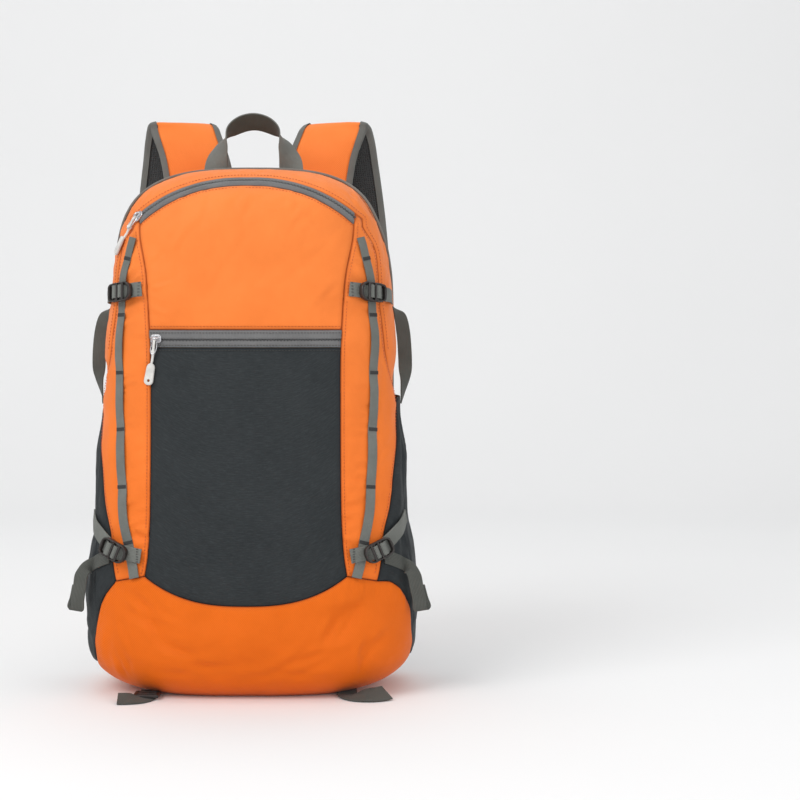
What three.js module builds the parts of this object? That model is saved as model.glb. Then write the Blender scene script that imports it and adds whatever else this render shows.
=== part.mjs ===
// A packable backpack standing upright, with its zips closed and its buckles fastened.
// Millimetres, +Z up. The front faces -Y, +X is the viewer's right, and the origin is the middle of the base.

import * as THREE from 'three';
import { mergeVertices } from 'three/addons/utils/BufferGeometryUtils.js';

// Body
const bodyHeight = 517;
const bodyHalfWidth = 164.5;
const bodyFrontDepth = 98;
const bodyBackDepth = 86;
const topRoundHeight = 88;
const bottomRoundHeight = 66;
const baseTuck = 6;
const basePoleX = 10;
const basePoleY = 13;
const outlineRoundness = 2.85;
const faceRoundness = 3.4;
const frontRoundness = 3.0;
const backRoundness = 4.0;
const clothWall = 1.6;
const seamInset = 0.3;
const clearance = 0.3;
const foldDepth = 4;
const foldFadeDepth = 40;
const foldFadeHeight = 30;

// Front panel, its pocket and its zips
const pocketZipperBottom = 341;
const pocketZipperTop = 358;
const pocketFloorHeight = 94;
const pocketCornerRise = 28;
const pocketFloorRoundness = 2.6;
const zipperArchDrop = 11.5;
const zipperArchFall = 34;
const zipperArchBand = 8;
const zipperArchEndSpread = 3.5;
const zipperArchRoundness = 2.3;

// Sides
const sidePocketTop = 290;
const sidePocketSlack = 12;
const mouthSlackShare = 0.55;
const bellySlackShare = 0.62;
const sidePocketFlare = 1.5;
const slackFadeHeight = 50;
const stripCornerDrop = 6;
const backSeamAngle = 27;
const yokeEdgeShare = 0.8;

// Webbing and piping
const pipingRadius = 2.3;
const webbingThickness = 1.6;
const daisyWidth = 10;
const strapWidth = 14;
const strapLift = 0.9;
const strapSteps = 10;
const buckleShare = 0.4;
const handleWidth = 24;
const handleHalfSpan = 38;
const handleRise = 52;
const handleLean = 40;
const handleGap = 2;
const lowerWebbingWidth = 20;
const lowerWebbingOut = 118;
const lowerWebbingSlack = 9;
const lashWidth = 20;

// Shoulder straps
const shoulderWidth = 70;
const shoulderThickness = 8;

// Hardware
const buckleLength = 32;
const buckleWidth = 18.5;
const buckleThickness = 6;
const plateCornerShare = 0.22;
const lockLength = 26;
const lockWidth = 27;
const lockThickness = 5;
const lashLockLength = 22;
const lashLockWidth = 25;
const lashLockThickness = 3.4;
const sliderLength = 11;
const sliderWidth = 8;
const sliderThickness = 4;
const pullLength = 44;
const pullWidth = 9.5;
const pullThickness = 3;

// Half width and depths of the body at a height. up is a share of bodyHeight, wide of bodyHalfWidth,
// front of bodyFrontDepth, and ridge and back of bodyBackDepth. The ridge is the widest line of the outline.
const SECTION_ROWS = [
  { up: 0.00, wide: 0.975, front: 0.92, ridge: 0.00, back: 0.93 },
  { up: 0.12, wide: 0.995, front: 0.98, ridge: 0.00, back: 0.98 },
  { up: 0.20, wide: 1.000, front: 1.00, ridge: 0.00, back: 1.00 },
  { up: 0.27, wide: 0.982, front: 0.99, ridge: 0.00, back: 1.00 },
  { up: 0.32, wide: 0.946, front: 0.98, ridge: 0.00, back: 1.00 },
  { up: 0.40, wide: 0.933, front: 0.97, ridge: 0.00, back: 1.00 },
  { up: 0.46, wide: 0.925, front: 0.95, ridge: 0.00, back: 1.00 },
  { up: 0.52, wide: 0.892, front: 0.94, ridge: 0.00, back: 1.00 },
  { up: 0.58, wide: 0.882, front: 0.93, ridge: 0.01, back: 1.00 },
  { up: 0.66, wide: 0.870, front: 0.92, ridge: 0.03, back: 1.00 },
  { up: 0.77, wide: 0.847, front: 0.89, ridge: 0.10, back: 1.02 },
  { up: 0.83, wide: 0.820, front: 0.86, ridge: 0.20, back: 1.03 },
  { up: 0.89, wide: 0.790, front: 0.84, ridge: 0.34, back: 1.04 },
  { up: 1.00, wide: 0.790, front: 0.80, ridge: 0.62, back: 1.05 },
];

// Seam between the front panels and the side strips. across is a share of bodyHalfWidth.
const FRONT_SEAM_ROWS = [
  { up: 0.22, across: 0.600 },
  { up: 0.28, across: 0.572 },
  { up: 0.36, across: 0.557 },
  { up: 0.56, across: 0.553 },
  { up: 0.66, across: 0.556 },
  { up: 0.74, across: 0.574 },
  { up: 0.80, across: 0.590 },
  { up: 0.86, across: 0.628 },
  { up: 0.88, across: 0.633 },
  { up: 0.91, across: 0.633 },
];

// Seam between the side strips and the sides. across is a share of the body's half width at that height.
const SIDE_SEAM_ROWS = [
  { up: 0.22, across: 0.775 },
  { up: 0.30, across: 0.845 },
  { up: 0.36, across: 0.900 },
  { up: 0.44, across: 0.936 },
  { up: 0.50, across: 0.976 },
  { up: 0.56, across: 0.990 },
  { up: 0.60, across: 0.968 },
  { up: 0.65, across: 0.936 },
  { up: 0.74, across: 0.930 },
  { up: 0.80, across: 0.932 },
  { up: 0.85, across: 0.925 },
  { up: 0.885, across: 0.866 },
];

// Middle line of the webbing sewn down the side strips. across is a share of bodyHalfWidth.
const DAISY_ROWS = [
  { up: 0.22, across: 0.640 },
  { up: 0.31, across: 0.698 },
  { up: 0.37, across: 0.720 },
  { up: 0.52, across: 0.739 },
  { up: 0.67, across: 0.744 },
  { up: 0.73, across: 0.740 },
  { up: 0.78, across: 0.726 },
  { up: 0.83, across: 0.692 },
  { up: 0.87, across: 0.652 },
];

// Turn of the back seam from the ridge, as a share of backSeamAngle. up is where its station starts in front.
const BACK_SEAM_ROWS = [
  { up: 0.50, turn: 0.85 },
  { up: 0.56, turn: 0.85 },
  { up: 0.65, turn: 0.70 },
  { up: 0.77, turn: 0.40 },
  { up: 0.84, turn: -0.05 },
  { up: 0.88, turn: -0.40 },
  { up: 0.91, turn: -0.55 },
  { up: 0.94, turn: -0.50 },
  { up: 0.97, turn: -0.22 },
];

// Lower edge of the side pockets, from the front seam to the back seam. rise is a share of pocketFloorHeight.
const SIDE_EDGE_ROWS = [
  { along: 0.00, rise: 1.234 },
  { along: 0.18, rise: 1.120 },
  { along: 0.34, rise: 0.880 },
  { along: 0.48, rise: 0.600 },
  { along: 0.62, rise: 0.360 },
  { along: 0.80, rise: 0.310 },
  { along: 1.00, rise: 0.310 },
];

// Main folds and dents of the front and sides. across is a share of bodyHalfWidth, up, long and wide of
// bodyHeight and deep of foldDepth. A fold runs along its turn, in degrees from the horizontal.
const FOLD_ROWS = [
  { across: 0.80, up: 0.752, turn: 8, long: 0.075, wide: 0.050, deep: -0.65 },
  { across: -0.80, up: 0.748, turn: -10, long: 0.075, wide: 0.050, deep: -0.70 },
  { across: 0.82, up: 0.280, turn: 12, long: 0.080, wide: 0.052, deep: -0.70 },
  { across: -0.82, up: 0.276, turn: -14, long: 0.080, wide: 0.052, deep: -0.65 },
  { across: 0.70, up: 0.480, turn: 86, long: 0.180, wide: 0.024, deep: -0.45 },
  { across: -0.71, up: 0.520, turn: 93, long: 0.190, wide: 0.024, deep: -0.45 },
  { across: 0.36, up: 0.840, turn: 24, long: 0.110, wide: 0.036, deep: -0.50 },
  { across: -0.30, up: 0.800, turn: -18, long: 0.120, wide: 0.040, deep: -0.45 },
  { across: 0.50, up: 0.720, turn: 62, long: 0.090, wide: 0.030, deep: -0.45 },
  { across: 0.22, up: 0.450, turn: 84, long: 0.170, wide: 0.040, deep: -0.40 },
  { across: -0.26, up: 0.400, turn: 97, long: 0.180, wide: 0.045, deep: -0.40 },
  { across: 0.58, up: 0.155, turn: 38, long: 0.090, wide: 0.028, deep: -0.75 },
  { across: -0.60, up: 0.150, turn: -36, long: 0.090, wide: 0.028, deep: -0.75 },
  { across: 0.84, up: 0.170, turn: -52, long: 0.075, wide: 0.026, deep: -0.80 },
  { across: -0.86, up: 0.165, turn: 50, long: 0.075, wide: 0.026, deep: -0.75 },
  { across: 0.00, up: 0.120, turn: 2, long: 0.240, wide: 0.040, deep: 0.55 },
];

const ORANGE = 0xff7d2e;
const DARK_CLOTH = 0x3c4244;
const WEBBING_GREY = 0x6a6764;
const PIPING_GREY = 0x6e6c69;
const HARDWARE_BLACK = 0x28221f;
const PULL_GREY = 0xc8c6c2;

const group = new THREE.Group();

// Value of one column of a table at a place, on a smooth curve through the rows
function readRows(rows, place, column, at) {
  const last = rows.length - 1;
  if (at <= rows[0][place]) {
    return rows[0][column];
  }
  if (at >= rows[last][place]) {
    return rows[last][column];
  }
  let i = 0;
  while (at > rows[i + 1][place]) {
    i += 1;
  }
  const slope = (k) => {
    const before = rows[Math.max(k - 1, 0)];
    const after = rows[Math.min(k + 1, last)];
    return (after[column] - before[column]) / (after[place] - before[place]);
  };
  const span = rows[i + 1][place] - rows[i][place];
  const t = (at - rows[i][place]) / span;
  const startWeight = 2 * t ** 3 - 3 * t ** 2 + 1;
  const startSlope = (t ** 3 - 2 * t ** 2 + t) * span * slope(i);
  const endSlope = (t ** 3 - t ** 2) * span * slope(i + 1);
  return startWeight * rows[i][column] + (1 - startWeight) * rows[i + 1][column] + startSlope + endSlope;
}

function mix(a, b, t) {
  return a + (b - a) * t;
}

function smoothStep(from, to, at) {
  const t = Math.min(Math.max((at - from) / (to - from), 0), 1);
  return t * t * (3 - 2 * t);
}

// Evenly spaced values from one to another, both included
function steps(from, to, count) {
  return Array.from({ length: count + 1 }, (_, i) => mix(from, to, i / count));
}

function sectionAt(z) {
  const up = z / bodyHeight;
  const read = (column) => readRows(SECTION_ROWS, 'up', column, up);
  return {
    wide: read('wide') * bodyHalfWidth,
    front: -read('front') * bodyFrontDepth,
    ridge: read('ridge') * bodyBackDepth,
    back: read('back') * bodyBackDepth,
  };
}

// How far a height lies into the rounded top or bottom, from 0 to 1
function roundShare(z) {
  const top = (z - bodyHeight + topRoundHeight) / topRoundHeight;
  const bottom = (bottomRoundHeight - baseTuck - z) / bottomRoundHeight;
  return Math.max(0, top, bottom);
}

// 0 in the middle of the front view and 1 on its outline
function outlineShare(x, z) {
  const n = outlineRoundness;
  return (Math.abs(x / sectionAt(z).wide) ** n + roundShare(z) ** n) ** (1 / n);
}

// Depth of the body on the front (-1) or back (1) of a section
function reachOf(section, face) {
  return face < 0 ? section.ridge - section.front : section.back - section.ridge;
}

function depthRoundness(face) {
  return face < 0 ? frontRoundness : backRoundness;
}

// Value that is 1 on the body's smooth surface
function bodyField(point) {
  const section = sectionAt(point.z);
  const offset = point.y - section.ridge;
  const face = offset < 0 ? -1 : 1;
  const depth = Math.abs(offset) / reachOf(section, face);
  return outlineShare(point.x, point.z) ** faceRoundness + depth ** depthRoundness(face);
}

function bodyNormal(point) {
  const probe = 0.05;
  const slope = (axis) => {
    const ahead = point.clone();
    const behind = point.clone();
    ahead[axis] += probe;
    behind[axis] -= probe;
    return bodyField(ahead) - bodyField(behind);
  };
  return new THREE.Vector3(slope('x'), slope('y'), slope('z')).normalize();
}

// Height of the main folds at a point, fading out behind the ridge and at the base
function foldHeight(point) {
  const ridge = sectionAt(point.z).ridge;
  const behind = smoothStep(ridge + 0.6 * foldFadeDepth, ridge - 0.4 * foldFadeDepth, point.y);
  const fade = behind * smoothStep(0.15 * foldFadeHeight, 1.15 * foldFadeHeight, point.z);
  let height = 0;
  for (const row of FOLD_ROWS) {
    const turn = THREE.MathUtils.degToRad(row.turn);
    const dx = point.x - row.across * bodyHalfWidth;
    const dz = point.z - row.up * bodyHeight;
    const along = (dx * Math.cos(turn) + dz * Math.sin(turn)) / (row.long * bodyHeight);
    const across = (dz * Math.cos(turn) - dx * Math.sin(turn)) / (row.wide * bodyHeight);
    height += row.deep * foldDepth * Math.exp(-(along ** 2) - across ** 2);
  }
  return height * fade;
}

// Point of the smooth body moved along its normal by the folds and by a lift. The flat base faces down.
function skinPoint(point, lift = 0) {
  const onBase = point.z === 0 && bodyField(point) < 0.99;
  const normal = onBase ? new THREE.Vector3(0, 0, -1) : bodyNormal(point);
  const outer = point.clone().addScaledVector(normal, foldHeight(point) + lift);
  return { outer, normal };
}

// Point of the front (-1) or back (1) face behind a place in the front view
function facePoint(x, z, face) {
  const section = sectionAt(z);
  const inside = Math.max(1 - Math.min(outlineShare(x, z), 1) ** faceRoundness, 0);
  const depth = reachOf(section, face) * inside ** (1 / depthRoundness(face));
  return new THREE.Vector3(x, section.ridge + face * depth, z);
}

// Turn from the ridge, in degrees, at which a place of the front view lies. The front is negative.
function turnOf(x, z) {
  const share = Math.min(outlineShare(x, z), 1);
  return -THREE.MathUtils.radToDeg(Math.acos(share ** (faceRoundness / 2)));
}

function turnShares(turn) {
  const angle = THREE.MathUtils.degToRad(Math.abs(turn));
  const face = turn < 0 ? -1 : 1;
  return {
    face,
    outline: Math.cos(angle) ** (2 / faceRoundness),
    depth: Math.sin(angle) ** (2 / depthRoundness(face)),
  };
}

// Point at a height and a turn from the ridge, on the left (-1) or right (1)
function sidePoint(z, turn, side) {
  const { face, outline, depth } = turnShares(turn);
  const n = outlineRoundness;
  const section = sectionAt(z);
  const x = section.wide * Math.max(outline ** n - roundShare(z) ** n, 0) ** (1 / n);
  return new THREE.Vector3(side * x, section.ridge + face * reachOf(section, face) * depth, z);
}

// Direction in the rounded top in which a place of the front view lies
function capAngle(x, z) {
  const half = outlineRoundness / 2;
  return Math.atan2(roundShare(z) ** half, Math.abs(x / sectionAt(z).wide) ** half);
}

// Point in the rounded top at a direction and a turn from the ridge
function capPoint(angle, turn, side) {
  const { face, outline, depth } = turnShares(turn);
  const power = 2 / outlineRoundness;
  const z = bodyHeight - topRoundHeight + topRoundHeight * outline * Math.sin(angle) ** power;
  const section = sectionAt(z);
  const x = side * section.wide * outline * Math.cos(angle) ** power;
  return new THREE.Vector3(x, section.ridge + face * reachOf(section, face) * depth, z);
}

// Closed body from a list of triangles, each three points, with its faces turned outwards
function solidFrom(triangles) {
  const raw = new THREE.BufferGeometry();
  const numbers = triangles.flat().flatMap((point) => [point.x, point.y, point.z]);
  raw.setAttribute('position', new THREE.Float32BufferAttribute(numbers, 3));
  const welded = mergeVertices(raw, 1e-3);
  const position = welded.getAttribute('position');
  const index = Array.from(welded.index.array);
  const kept = [];
  const corners = [new THREE.Vector3(), new THREE.Vector3(), new THREE.Vector3()];
  let volume = 0;
  for (let i = 0; i < index.length; i += 3) {
    const [a, b, c] = index.slice(i, i + 3);
    if (a === b || b === c || c === a) {
      continue;
    }
    kept.push([a, b, c]);
    [a, b, c].forEach((corner, k) => corners[k].fromBufferAttribute(position, corner));
    volume += corners[0].dot(corners[1].clone().cross(corners[2]));
  }
  welded.setIndex(kept.flatMap((face) => (volume < 0 ? [face[0], face[2], face[1]] : face)));
  welded.computeVertexNormals();
  return welded;
}

function quad(a, b, c, d) {
  return [[a, b, c], [a, c, d]];
}

// Moves the border points of a grid towards their neighbours, so that sewn panels keep a small gap
function insetGrid(grid, ring) {
  const moved = grid.map((row) => row.map((point) => point.clone()));
  const lastRow = grid.length - 1;
  const lastColumn = grid[0].length - 1;
  const pull = (row, column, towards) => {
    const direction = towards.clone().sub(grid[row][column]);
    if (direction.length() > 2 * seamInset) {
      moved[row][column].addScaledVector(direction.normalize(), seamInset);
    }
  };
  for (let column = 0; column <= lastColumn; column += 1) {
    pull(0, column, grid[1][column]);
    if (!ring) {
      pull(lastRow, column, grid[lastRow - 1][column]);
    }
  }
  for (let row = 0; row <= lastRow && !ring; row += 1) {
    pull(row, 0, grid[row][1]);
    pull(row, lastColumn, grid[row][lastColumn - 1]);
  }
  return moved;
}

// Cloth panel: a grid of body points, with a wall on its inside. A ring is a grid that closes on itself
// sideways and shrinks to one point in its last row.
function clothPanel(basePoints, { ring = false, lift = () => 0 } = {}) {
  const skins = basePoints.map((row, i) => row.map((point, j) => skinPoint(point, lift(i, j))));
  const outer = insetGrid(skins.map((row) => row.map((skin) => skin.outer)), ring);
  const inner = outer.map((row, i) => row.map((point, j) => (
    point.clone().addScaledVector(skins[i][j].normal, -clothWall)
  )));
  const rows = outer.length;
  const columns = outer[0].length;
  const sides = ring ? columns : columns - 1;
  const triangles = [];
  for (let i = 0; i + 1 < rows; i += 1) {
    for (let j = 0; j < sides; j += 1) {
      const k = (j + 1) % columns;
      triangles.push(...quad(outer[i][j], outer[i][k], outer[i + 1][k], outer[i + 1][j]));
      triangles.push(...quad(inner[i][j], inner[i + 1][j], inner[i + 1][k], inner[i][k]));
    }
  }
  for (let j = 0; j < sides; j += 1) {
    const k = (j + 1) % columns;
    triangles.push(...quad(outer[0][j], inner[0][j], inner[0][k], outer[0][k]));
    if (!ring) {
      const end = rows - 1;
      triangles.push(...quad(outer[end][j], outer[end][k], inner[end][k], inner[end][j]));
    }
  }
  for (let i = 0; i + 1 < rows && !ring; i += 1) {
    const end = columns - 1;
    triangles.push(...quad(outer[i][0], outer[i + 1][0], inner[i + 1][0], inner[i][0]));
    triangles.push(...quad(outer[i][end], inner[i][end], inner[i + 1][end], outer[i + 1][end]));
  }
  return solidFrom(triangles);
}

// Closed body through a list of loops with as many points each, capped at both ends
function loft(loops) {
  const triangles = [];
  const count = loops[0].length;
  for (let i = 0; i + 1 < loops.length; i += 1) {
    for (let j = 0; j < count; j += 1) {
      const k = (j + 1) % count;
      triangles.push(...quad(loops[i][j], loops[i][k], loops[i + 1][k], loops[i + 1][j]));
    }
  }
  const cap = (loop, flip) => {
    for (let j = 1; j + 1 < count; j += 1) {
      triangles.push(flip ? [loop[0], loop[j + 1], loop[j]] : [loop[0], loop[j], loop[j + 1]]);
    }
  };
  cap(loops[0], true);
  cap(loops[loops.length - 1], false);
  return solidFrom(triangles);
}

// Strip of webbing through stations, each with a middle, a direction across the strip and, where it lies on the
// body, its direction along it
function ribbon(stations, width, thickness) {
  const loops = stations.map((station, i) => {
    const before = stations[Math.max(i - 1, 0)].middle;
    const after = stations[Math.min(i + 1, stations.length - 1)].middle;
    const along = station.along ?? after.clone().sub(before).normalize();
    const across = station.across.clone().addScaledVector(along, -along.dot(station.across)).normalize();
    const normal = along.clone().cross(across);
    const corner = (a, b) => station.middle.clone()
      .addScaledVector(across, (a * width) / 2)
      .addScaledVector(normal, (b * thickness) / 2);
    return [corner(-1, -1), corner(1, -1), corner(1, 1), corner(-1, 1)];
  });
  return loft(loops);
}

// Smooth stations through a few chosen ones
function smoothStations(chosen, perSpan) {
  const middles = new THREE.CatmullRomCurve3(chosen.map((station) => station.middle));
  const acrosses = new THREE.CatmullRomCurve3(chosen.map((station) => station.across));
  const count = (chosen.length - 1) * perSpan;
  return steps(0, 1, count).map((t) => ({ middle: middles.getPoint(t), across: acrosses.getPoint(t) }));
}

function addPiece(name, geometry, color, roughness = 0.85, metalness = 0) {
  const mesh = new THREE.Mesh(geometry, new THREE.MeshStandardMaterial({ color, roughness, metalness }));
  mesh.name = name;
  group.add(mesh);
  return mesh;
}

const SIDES = [{ side: -1, word: 'left' }, { side: 1, word: 'right' }];

function frontSeamX(z) {
  return readRows(FRONT_SEAM_ROWS, 'up', 'across', z / bodyHeight) * bodyHalfWidth;
}

function frontSeamTurn(z) {
  return turnOf(frontSeamX(z), z);
}

function sideSeamTurn(z) {
  const across = readRows(SIDE_SEAM_ROWS, 'up', 'across', z / bodyHeight);
  return turnOf(across * sectionAt(z).wide, z);
}

function backSeamTurn(z) {
  return readRows(BACK_SEAM_ROWS, 'up', 'turn', z / bodyHeight) * backSeamAngle;
}

// Heights of the front pocket's lower edge and of the main zip's two edges, at a share of the way to the seams
function pocketFloor(share) {
  return pocketFloorHeight + pocketCornerRise * Math.abs(share) ** pocketFloorRoundness;
}

function zipperOuterEdge(share) {
  return bodyHeight - zipperArchDrop - zipperArchFall * Math.abs(share) ** zipperArchRoundness;
}

function zipperInnerEdge(share) {
  const spread = zipperArchEndSpread * Math.abs(share) ** zipperArchRoundness;
  return zipperOuterEdge(share) - zipperArchBand - spread;
}

// Rows and columns that neighbouring panels share, so that their seams match
const stripBottom = pocketFloor(1);
const stripTop = zipperInnerEdge(1);
const archHalfSpan = frontSeamX(stripTop);
const frontColumns = steps(-1, 1, 10);
const alongColumns = steps(0, 1, 8);
const lowerRows = steps(0, 1, 7);
const upperShares = steps(0, 1, 5);
const stripRows = [
  ...lowerRows.map((v) => ({
    inner: mix(stripBottom, sidePocketTop, v),
    outer: mix(stripBottom - stripCornerDrop, sidePocketTop, v),
  })),
  ...[mix(sidePocketTop, pocketZipperBottom, 0.5), pocketZipperBottom].map((z) => ({ inner: z, outer: z })),
  ...upperShares.map((v) => mix(pocketZipperTop, stripTop, v)).map((z) => ({ inner: z, outer: z })),
  { inner: zipperOuterEdge(1), outer: stripTop + stripCornerDrop },
];

function frontPoint(share, z, seamHeight = z) {
  return facePoint(share * frontSeamX(seamHeight), z, -1);
}

function addFrontPanels() {
  const seamHeights = stripRows.map((row) => row.inner).filter((z) => z <= pocketZipperBottom);
  const pocket = seamHeights.map((seamHeight) => frontColumns.map((u) => {
    const v = (seamHeight - stripBottom) / (pocketZipperBottom - stripBottom);
    return frontPoint(u, mix(pocketFloor(u), pocketZipperBottom, v), seamHeight);
  }));
  const zipper = [pocketZipperBottom, pocketZipperTop].map((z) => frontColumns.map((u) => frontPoint(u, z)));
  const panel = upperShares.map((v) => frontColumns.map((u) => {
    const seamHeight = mix(pocketZipperTop, stripTop, v);
    return frontPoint(u, mix(pocketZipperTop, zipperInnerEdge(u), v), seamHeight);
  }));
  const arch = [zipperInnerEdge, zipperOuterEdge].map((edge) => frontColumns.map((u) => (
    frontPoint(u, edge(u), stripTop)
  )));
  addPiece('front_pocket', clothPanel(pocket), DARK_CLOTH);
  addPiece('pocket_zipper', clothPanel(zipper), WEBBING_GREY);
  addPiece('front_panel', clothPanel(panel), ORANGE);
  addPiece('main_zipper', clothPanel(arch), WEBBING_GREY);
}

// Shares of a side strip's row at which its webbing starts and ends
function daisyShares(row) {
  const height = mix(row.inner, row.outer, 0.5);
  const from = frontSeamTurn(row.inner);
  const to = sideSeamTurn(row.outer);
  const x = readRows(DAISY_ROWS, 'up', 'across', height / bodyHeight) * bodyHalfWidth;
  const middle = (turnOf(x, height) - from) / (to - from);
  const step = 0.01;
  const pointAt = (share) => sidePoint(height, mix(from, to, share), 1);
  const half = (daisyWidth / 2) * step / pointAt(middle).distanceTo(pointAt(middle + step));
  const start = Math.max(middle - half, 0.1);
  return { start, end: Math.min(start + 2 * half, 0.9) };
}

function stripPoint(row, share, side) {
  const turn = mix(frontSeamTurn(row.inner), sideSeamTurn(row.outer), share);
  return sidePoint(mix(row.inner, row.outer, share), turn, side);
}

function stripShares(row) {
  const { start, end } = daisyShares(row);
  return [0, start / 2, start, end, (1 + end) / 2, 1];
}

function addSideStrip(side, word) {
  const grid = stripRows.map((row) => stripShares(row).map((share) => stripPoint(row, share, side)));
  addPiece(`${word}_front_strip`, clothPanel(grid), ORANGE);
  const loops = stripRows.slice(0, -2).map((row) => {
    const { start, end } = daisyShares(row);
    const [a, b] = [start, end].map((share) => skinPoint(stripPoint(row, share, side)));
    const lifted = (skin, lift) => skin.outer.clone().addScaledVector(skin.normal, lift);
    const top = clearance + webbingThickness;
    return [lifted(a, clearance), lifted(b, clearance), lifted(b, top), lifted(a, top)];
  });
  addPiece(`${word}_daisy_chain`, loft(loops), WEBBING_GREY);
}

// Depth of the slack cloth behind a side pocket. along runs from the front seam to the back seam.
function pocketHollow(along, z, bottom) {
  const wallDepth = clothWall + clearance;
  const fade = 1 - smoothStep(sidePocketTop, sidePocketTop + slackFadeHeight, z);
  const v = Math.min((z - bottom) / (sidePocketTop - bottom), 1);
  const slack = (mouthSlackShare * v + bellySlackShare * Math.sin(Math.PI * v)) * Math.sin(Math.PI * along);
  return (wallDepth + slack * sidePocketSlack) * fade;
}

function sidePocketEdge(along) {
  return readRows(SIDE_EDGE_ROWS, 'along', 'rise', along) * pocketFloorHeight;
}

function sidePocketPoint(along, v, side) {
  const z = mix(sidePocketEdge(along), sidePocketTop, v);
  return sidePoint(z, mix(sideSeamTurn(z), backSeamTurn(z), along), side);
}

function addSidePocket(side, word) {
  const grid = lowerRows.map((v) => alongColumns.map((along) => sidePocketPoint(along, v, side)));
  const flare = (i, j) => sidePocketFlare * lowerRows[i] ** 2 * Math.sin(Math.PI * alongColumns[j]);
  const hollow = (i, j) => -pocketHollow(alongColumns[j], grid[i][j].z, sidePocketEdge(alongColumns[j]));
  addPiece(`${word}_side_pocket`, clothPanel(grid, { lift: flare }), DARK_CLOTH);
  addPiece(`${word}_side_panel`, clothPanel(grid, { lift: hollow }), ORANGE);
}

// Stations of the top gusset from one pocket mouth over the top to the other
const gussetStations = (() => {
  const sideRows = stripRows.slice(lowerRows.length - 1, -1).map(({ outer }) => outer);
  const side = [...sideRows, stripTop + stripCornerDrop].map((z) => {
    const across = readRows(SIDE_SEAM_ROWS, 'up', 'across', z / bodyHeight);
    return { x: across * sectionAt(z).wide, z };
  });
  const arch = frontColumns.map((u) => ({ x: -u * archHalfSpan, z: zipperOuterEdge(u) }));
  return [...side, ...arch, ...side.map(({ x, z }) => ({ x: -x, z })).reverse()];
})();

function stationPoint(station, turn) {
  const side = station.x < 0 ? -1 : 1;
  if (roundShare(station.z) === 0) {
    return sidePoint(station.z, turn, side);
  }
  return capPoint(capAngle(station.x, station.z), turn, side);
}

function addTopGusset() {
  const across = steps(0, 1, 6);
  const grid = across.map((share) => gussetStations.map((station) => (
    stationPoint(station, mix(turnOf(station.x, station.z), backSeamTurn(station.z), share))
  )));
  const hollow = (i, j) => -pocketHollow(across[i], gussetStations[j].z, 0);
  addPiece('top_gusset', clothPanel(grid, { lift: hollow }), ORANGE);
}

function addBackPanels() {
  const wrapRows = steps(0, 1, 3);
  const faceRows = steps(0, 1, 4).slice(1);
  const last = gussetStations.length - 1;
  const corner = stationPoint(gussetStations[0], backSeamAngle);
  const wrap = wrapRows.map((share) => gussetStations.map((station) => (
    stationPoint(station, mix(backSeamTurn(station.z), backSeamAngle, share))
  )));
  const face = faceRows.map((share) => gussetStations.map((station, k) => {
    const from = wrap[wrap.length - 1][k];
    const lineX = mix(yokeEdgeShare, -yokeEdgeShare, k / last) * corner.x;
    return facePoint(mix(from.x, lineX, share), mix(from.z, sidePocketTop, share), 1);
  }));
  addPiece('back_yoke', clothPanel([...wrap, ...face]), ORANGE);
  const grid = lowerRows.map((v) => {
    const edge = sidePocketPoint(1, v, 1);
    return [-1, -0.93, -0.8, -0.5, 0, 0.5, 0.8, 0.93, 1].map((share) => facePoint(share * edge.x, edge.z, 1));
  });
  addPiece('back_panel', clothPanel(grid), DARK_CLOTH);
}

// Point of the body at a height in a direction around it
function ringPoint(angle, z) {
  const section = sectionAt(z);
  const face = Math.sin(angle) < 0 ? -1 : 1;
  const at = (size) => new THREE.Vector3(
    size * section.wide * Math.cos(angle),
    section.ridge + size * reachOf(section, face) * Math.sin(angle),
    z,
  );
  let low = 0;
  let high = 1.2;
  for (let i = 0; i < 40; i += 1) {
    const middle = (low + high) / 2;
    if (bodyField(at(middle)) < 1) {
      low = middle;
    } else {
      high = middle;
    }
  }
  return at(low);
}

function ringAngle(point) {
  const section = sectionAt(point.z);
  const face = point.y < section.ridge ? -1 : 1;
  return Math.atan2((point.y - section.ridge) / reachOf(section, face), point.x / section.wide);
}

function addBottomPanel() {
  const front = frontColumns.map((u) => frontPoint(u, pocketFloor(u), stripBottom));
  const firstRow = stripRows[0];
  const strip = (side) => stripShares(firstRow).slice(1).map((share) => stripPoint(firstRow, share, side));
  const flank = (side) => alongColumns.slice(1).map((along) => sidePocketPoint(along, 0, side));
  const edge = sidePocketPoint(1, 0, 1);
  const back = [0.93, 0.8, 0.5, 0, -0.5, -0.8, -0.93].map((share) => facePoint(share * edge.x, edge.z, 1));
  const right = [...strip(1), ...flank(1)];
  const left = [...strip(-1), ...flank(-1)].reverse();
  const rim = [...front, ...right, ...back, ...left];
  const wallRings = steps(0, 1, 4).slice(1).map((share) => rim.map((point) => (
    ringPoint(ringAngle(point), mix(point.z, 0, share))
  )));
  const baseRing = wallRings[wallRings.length - 1];
  const pole = new THREE.Vector3(basePoleX, basePoleY, 0);
  const inner = baseRing.map((point) => point.clone().lerp(pole, 0.5));
  addPiece('bottom_panel', clothPanel([rim, ...wallRings, inner, rim.map(() => pole)], { ring: true }), ORANGE);
}

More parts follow.
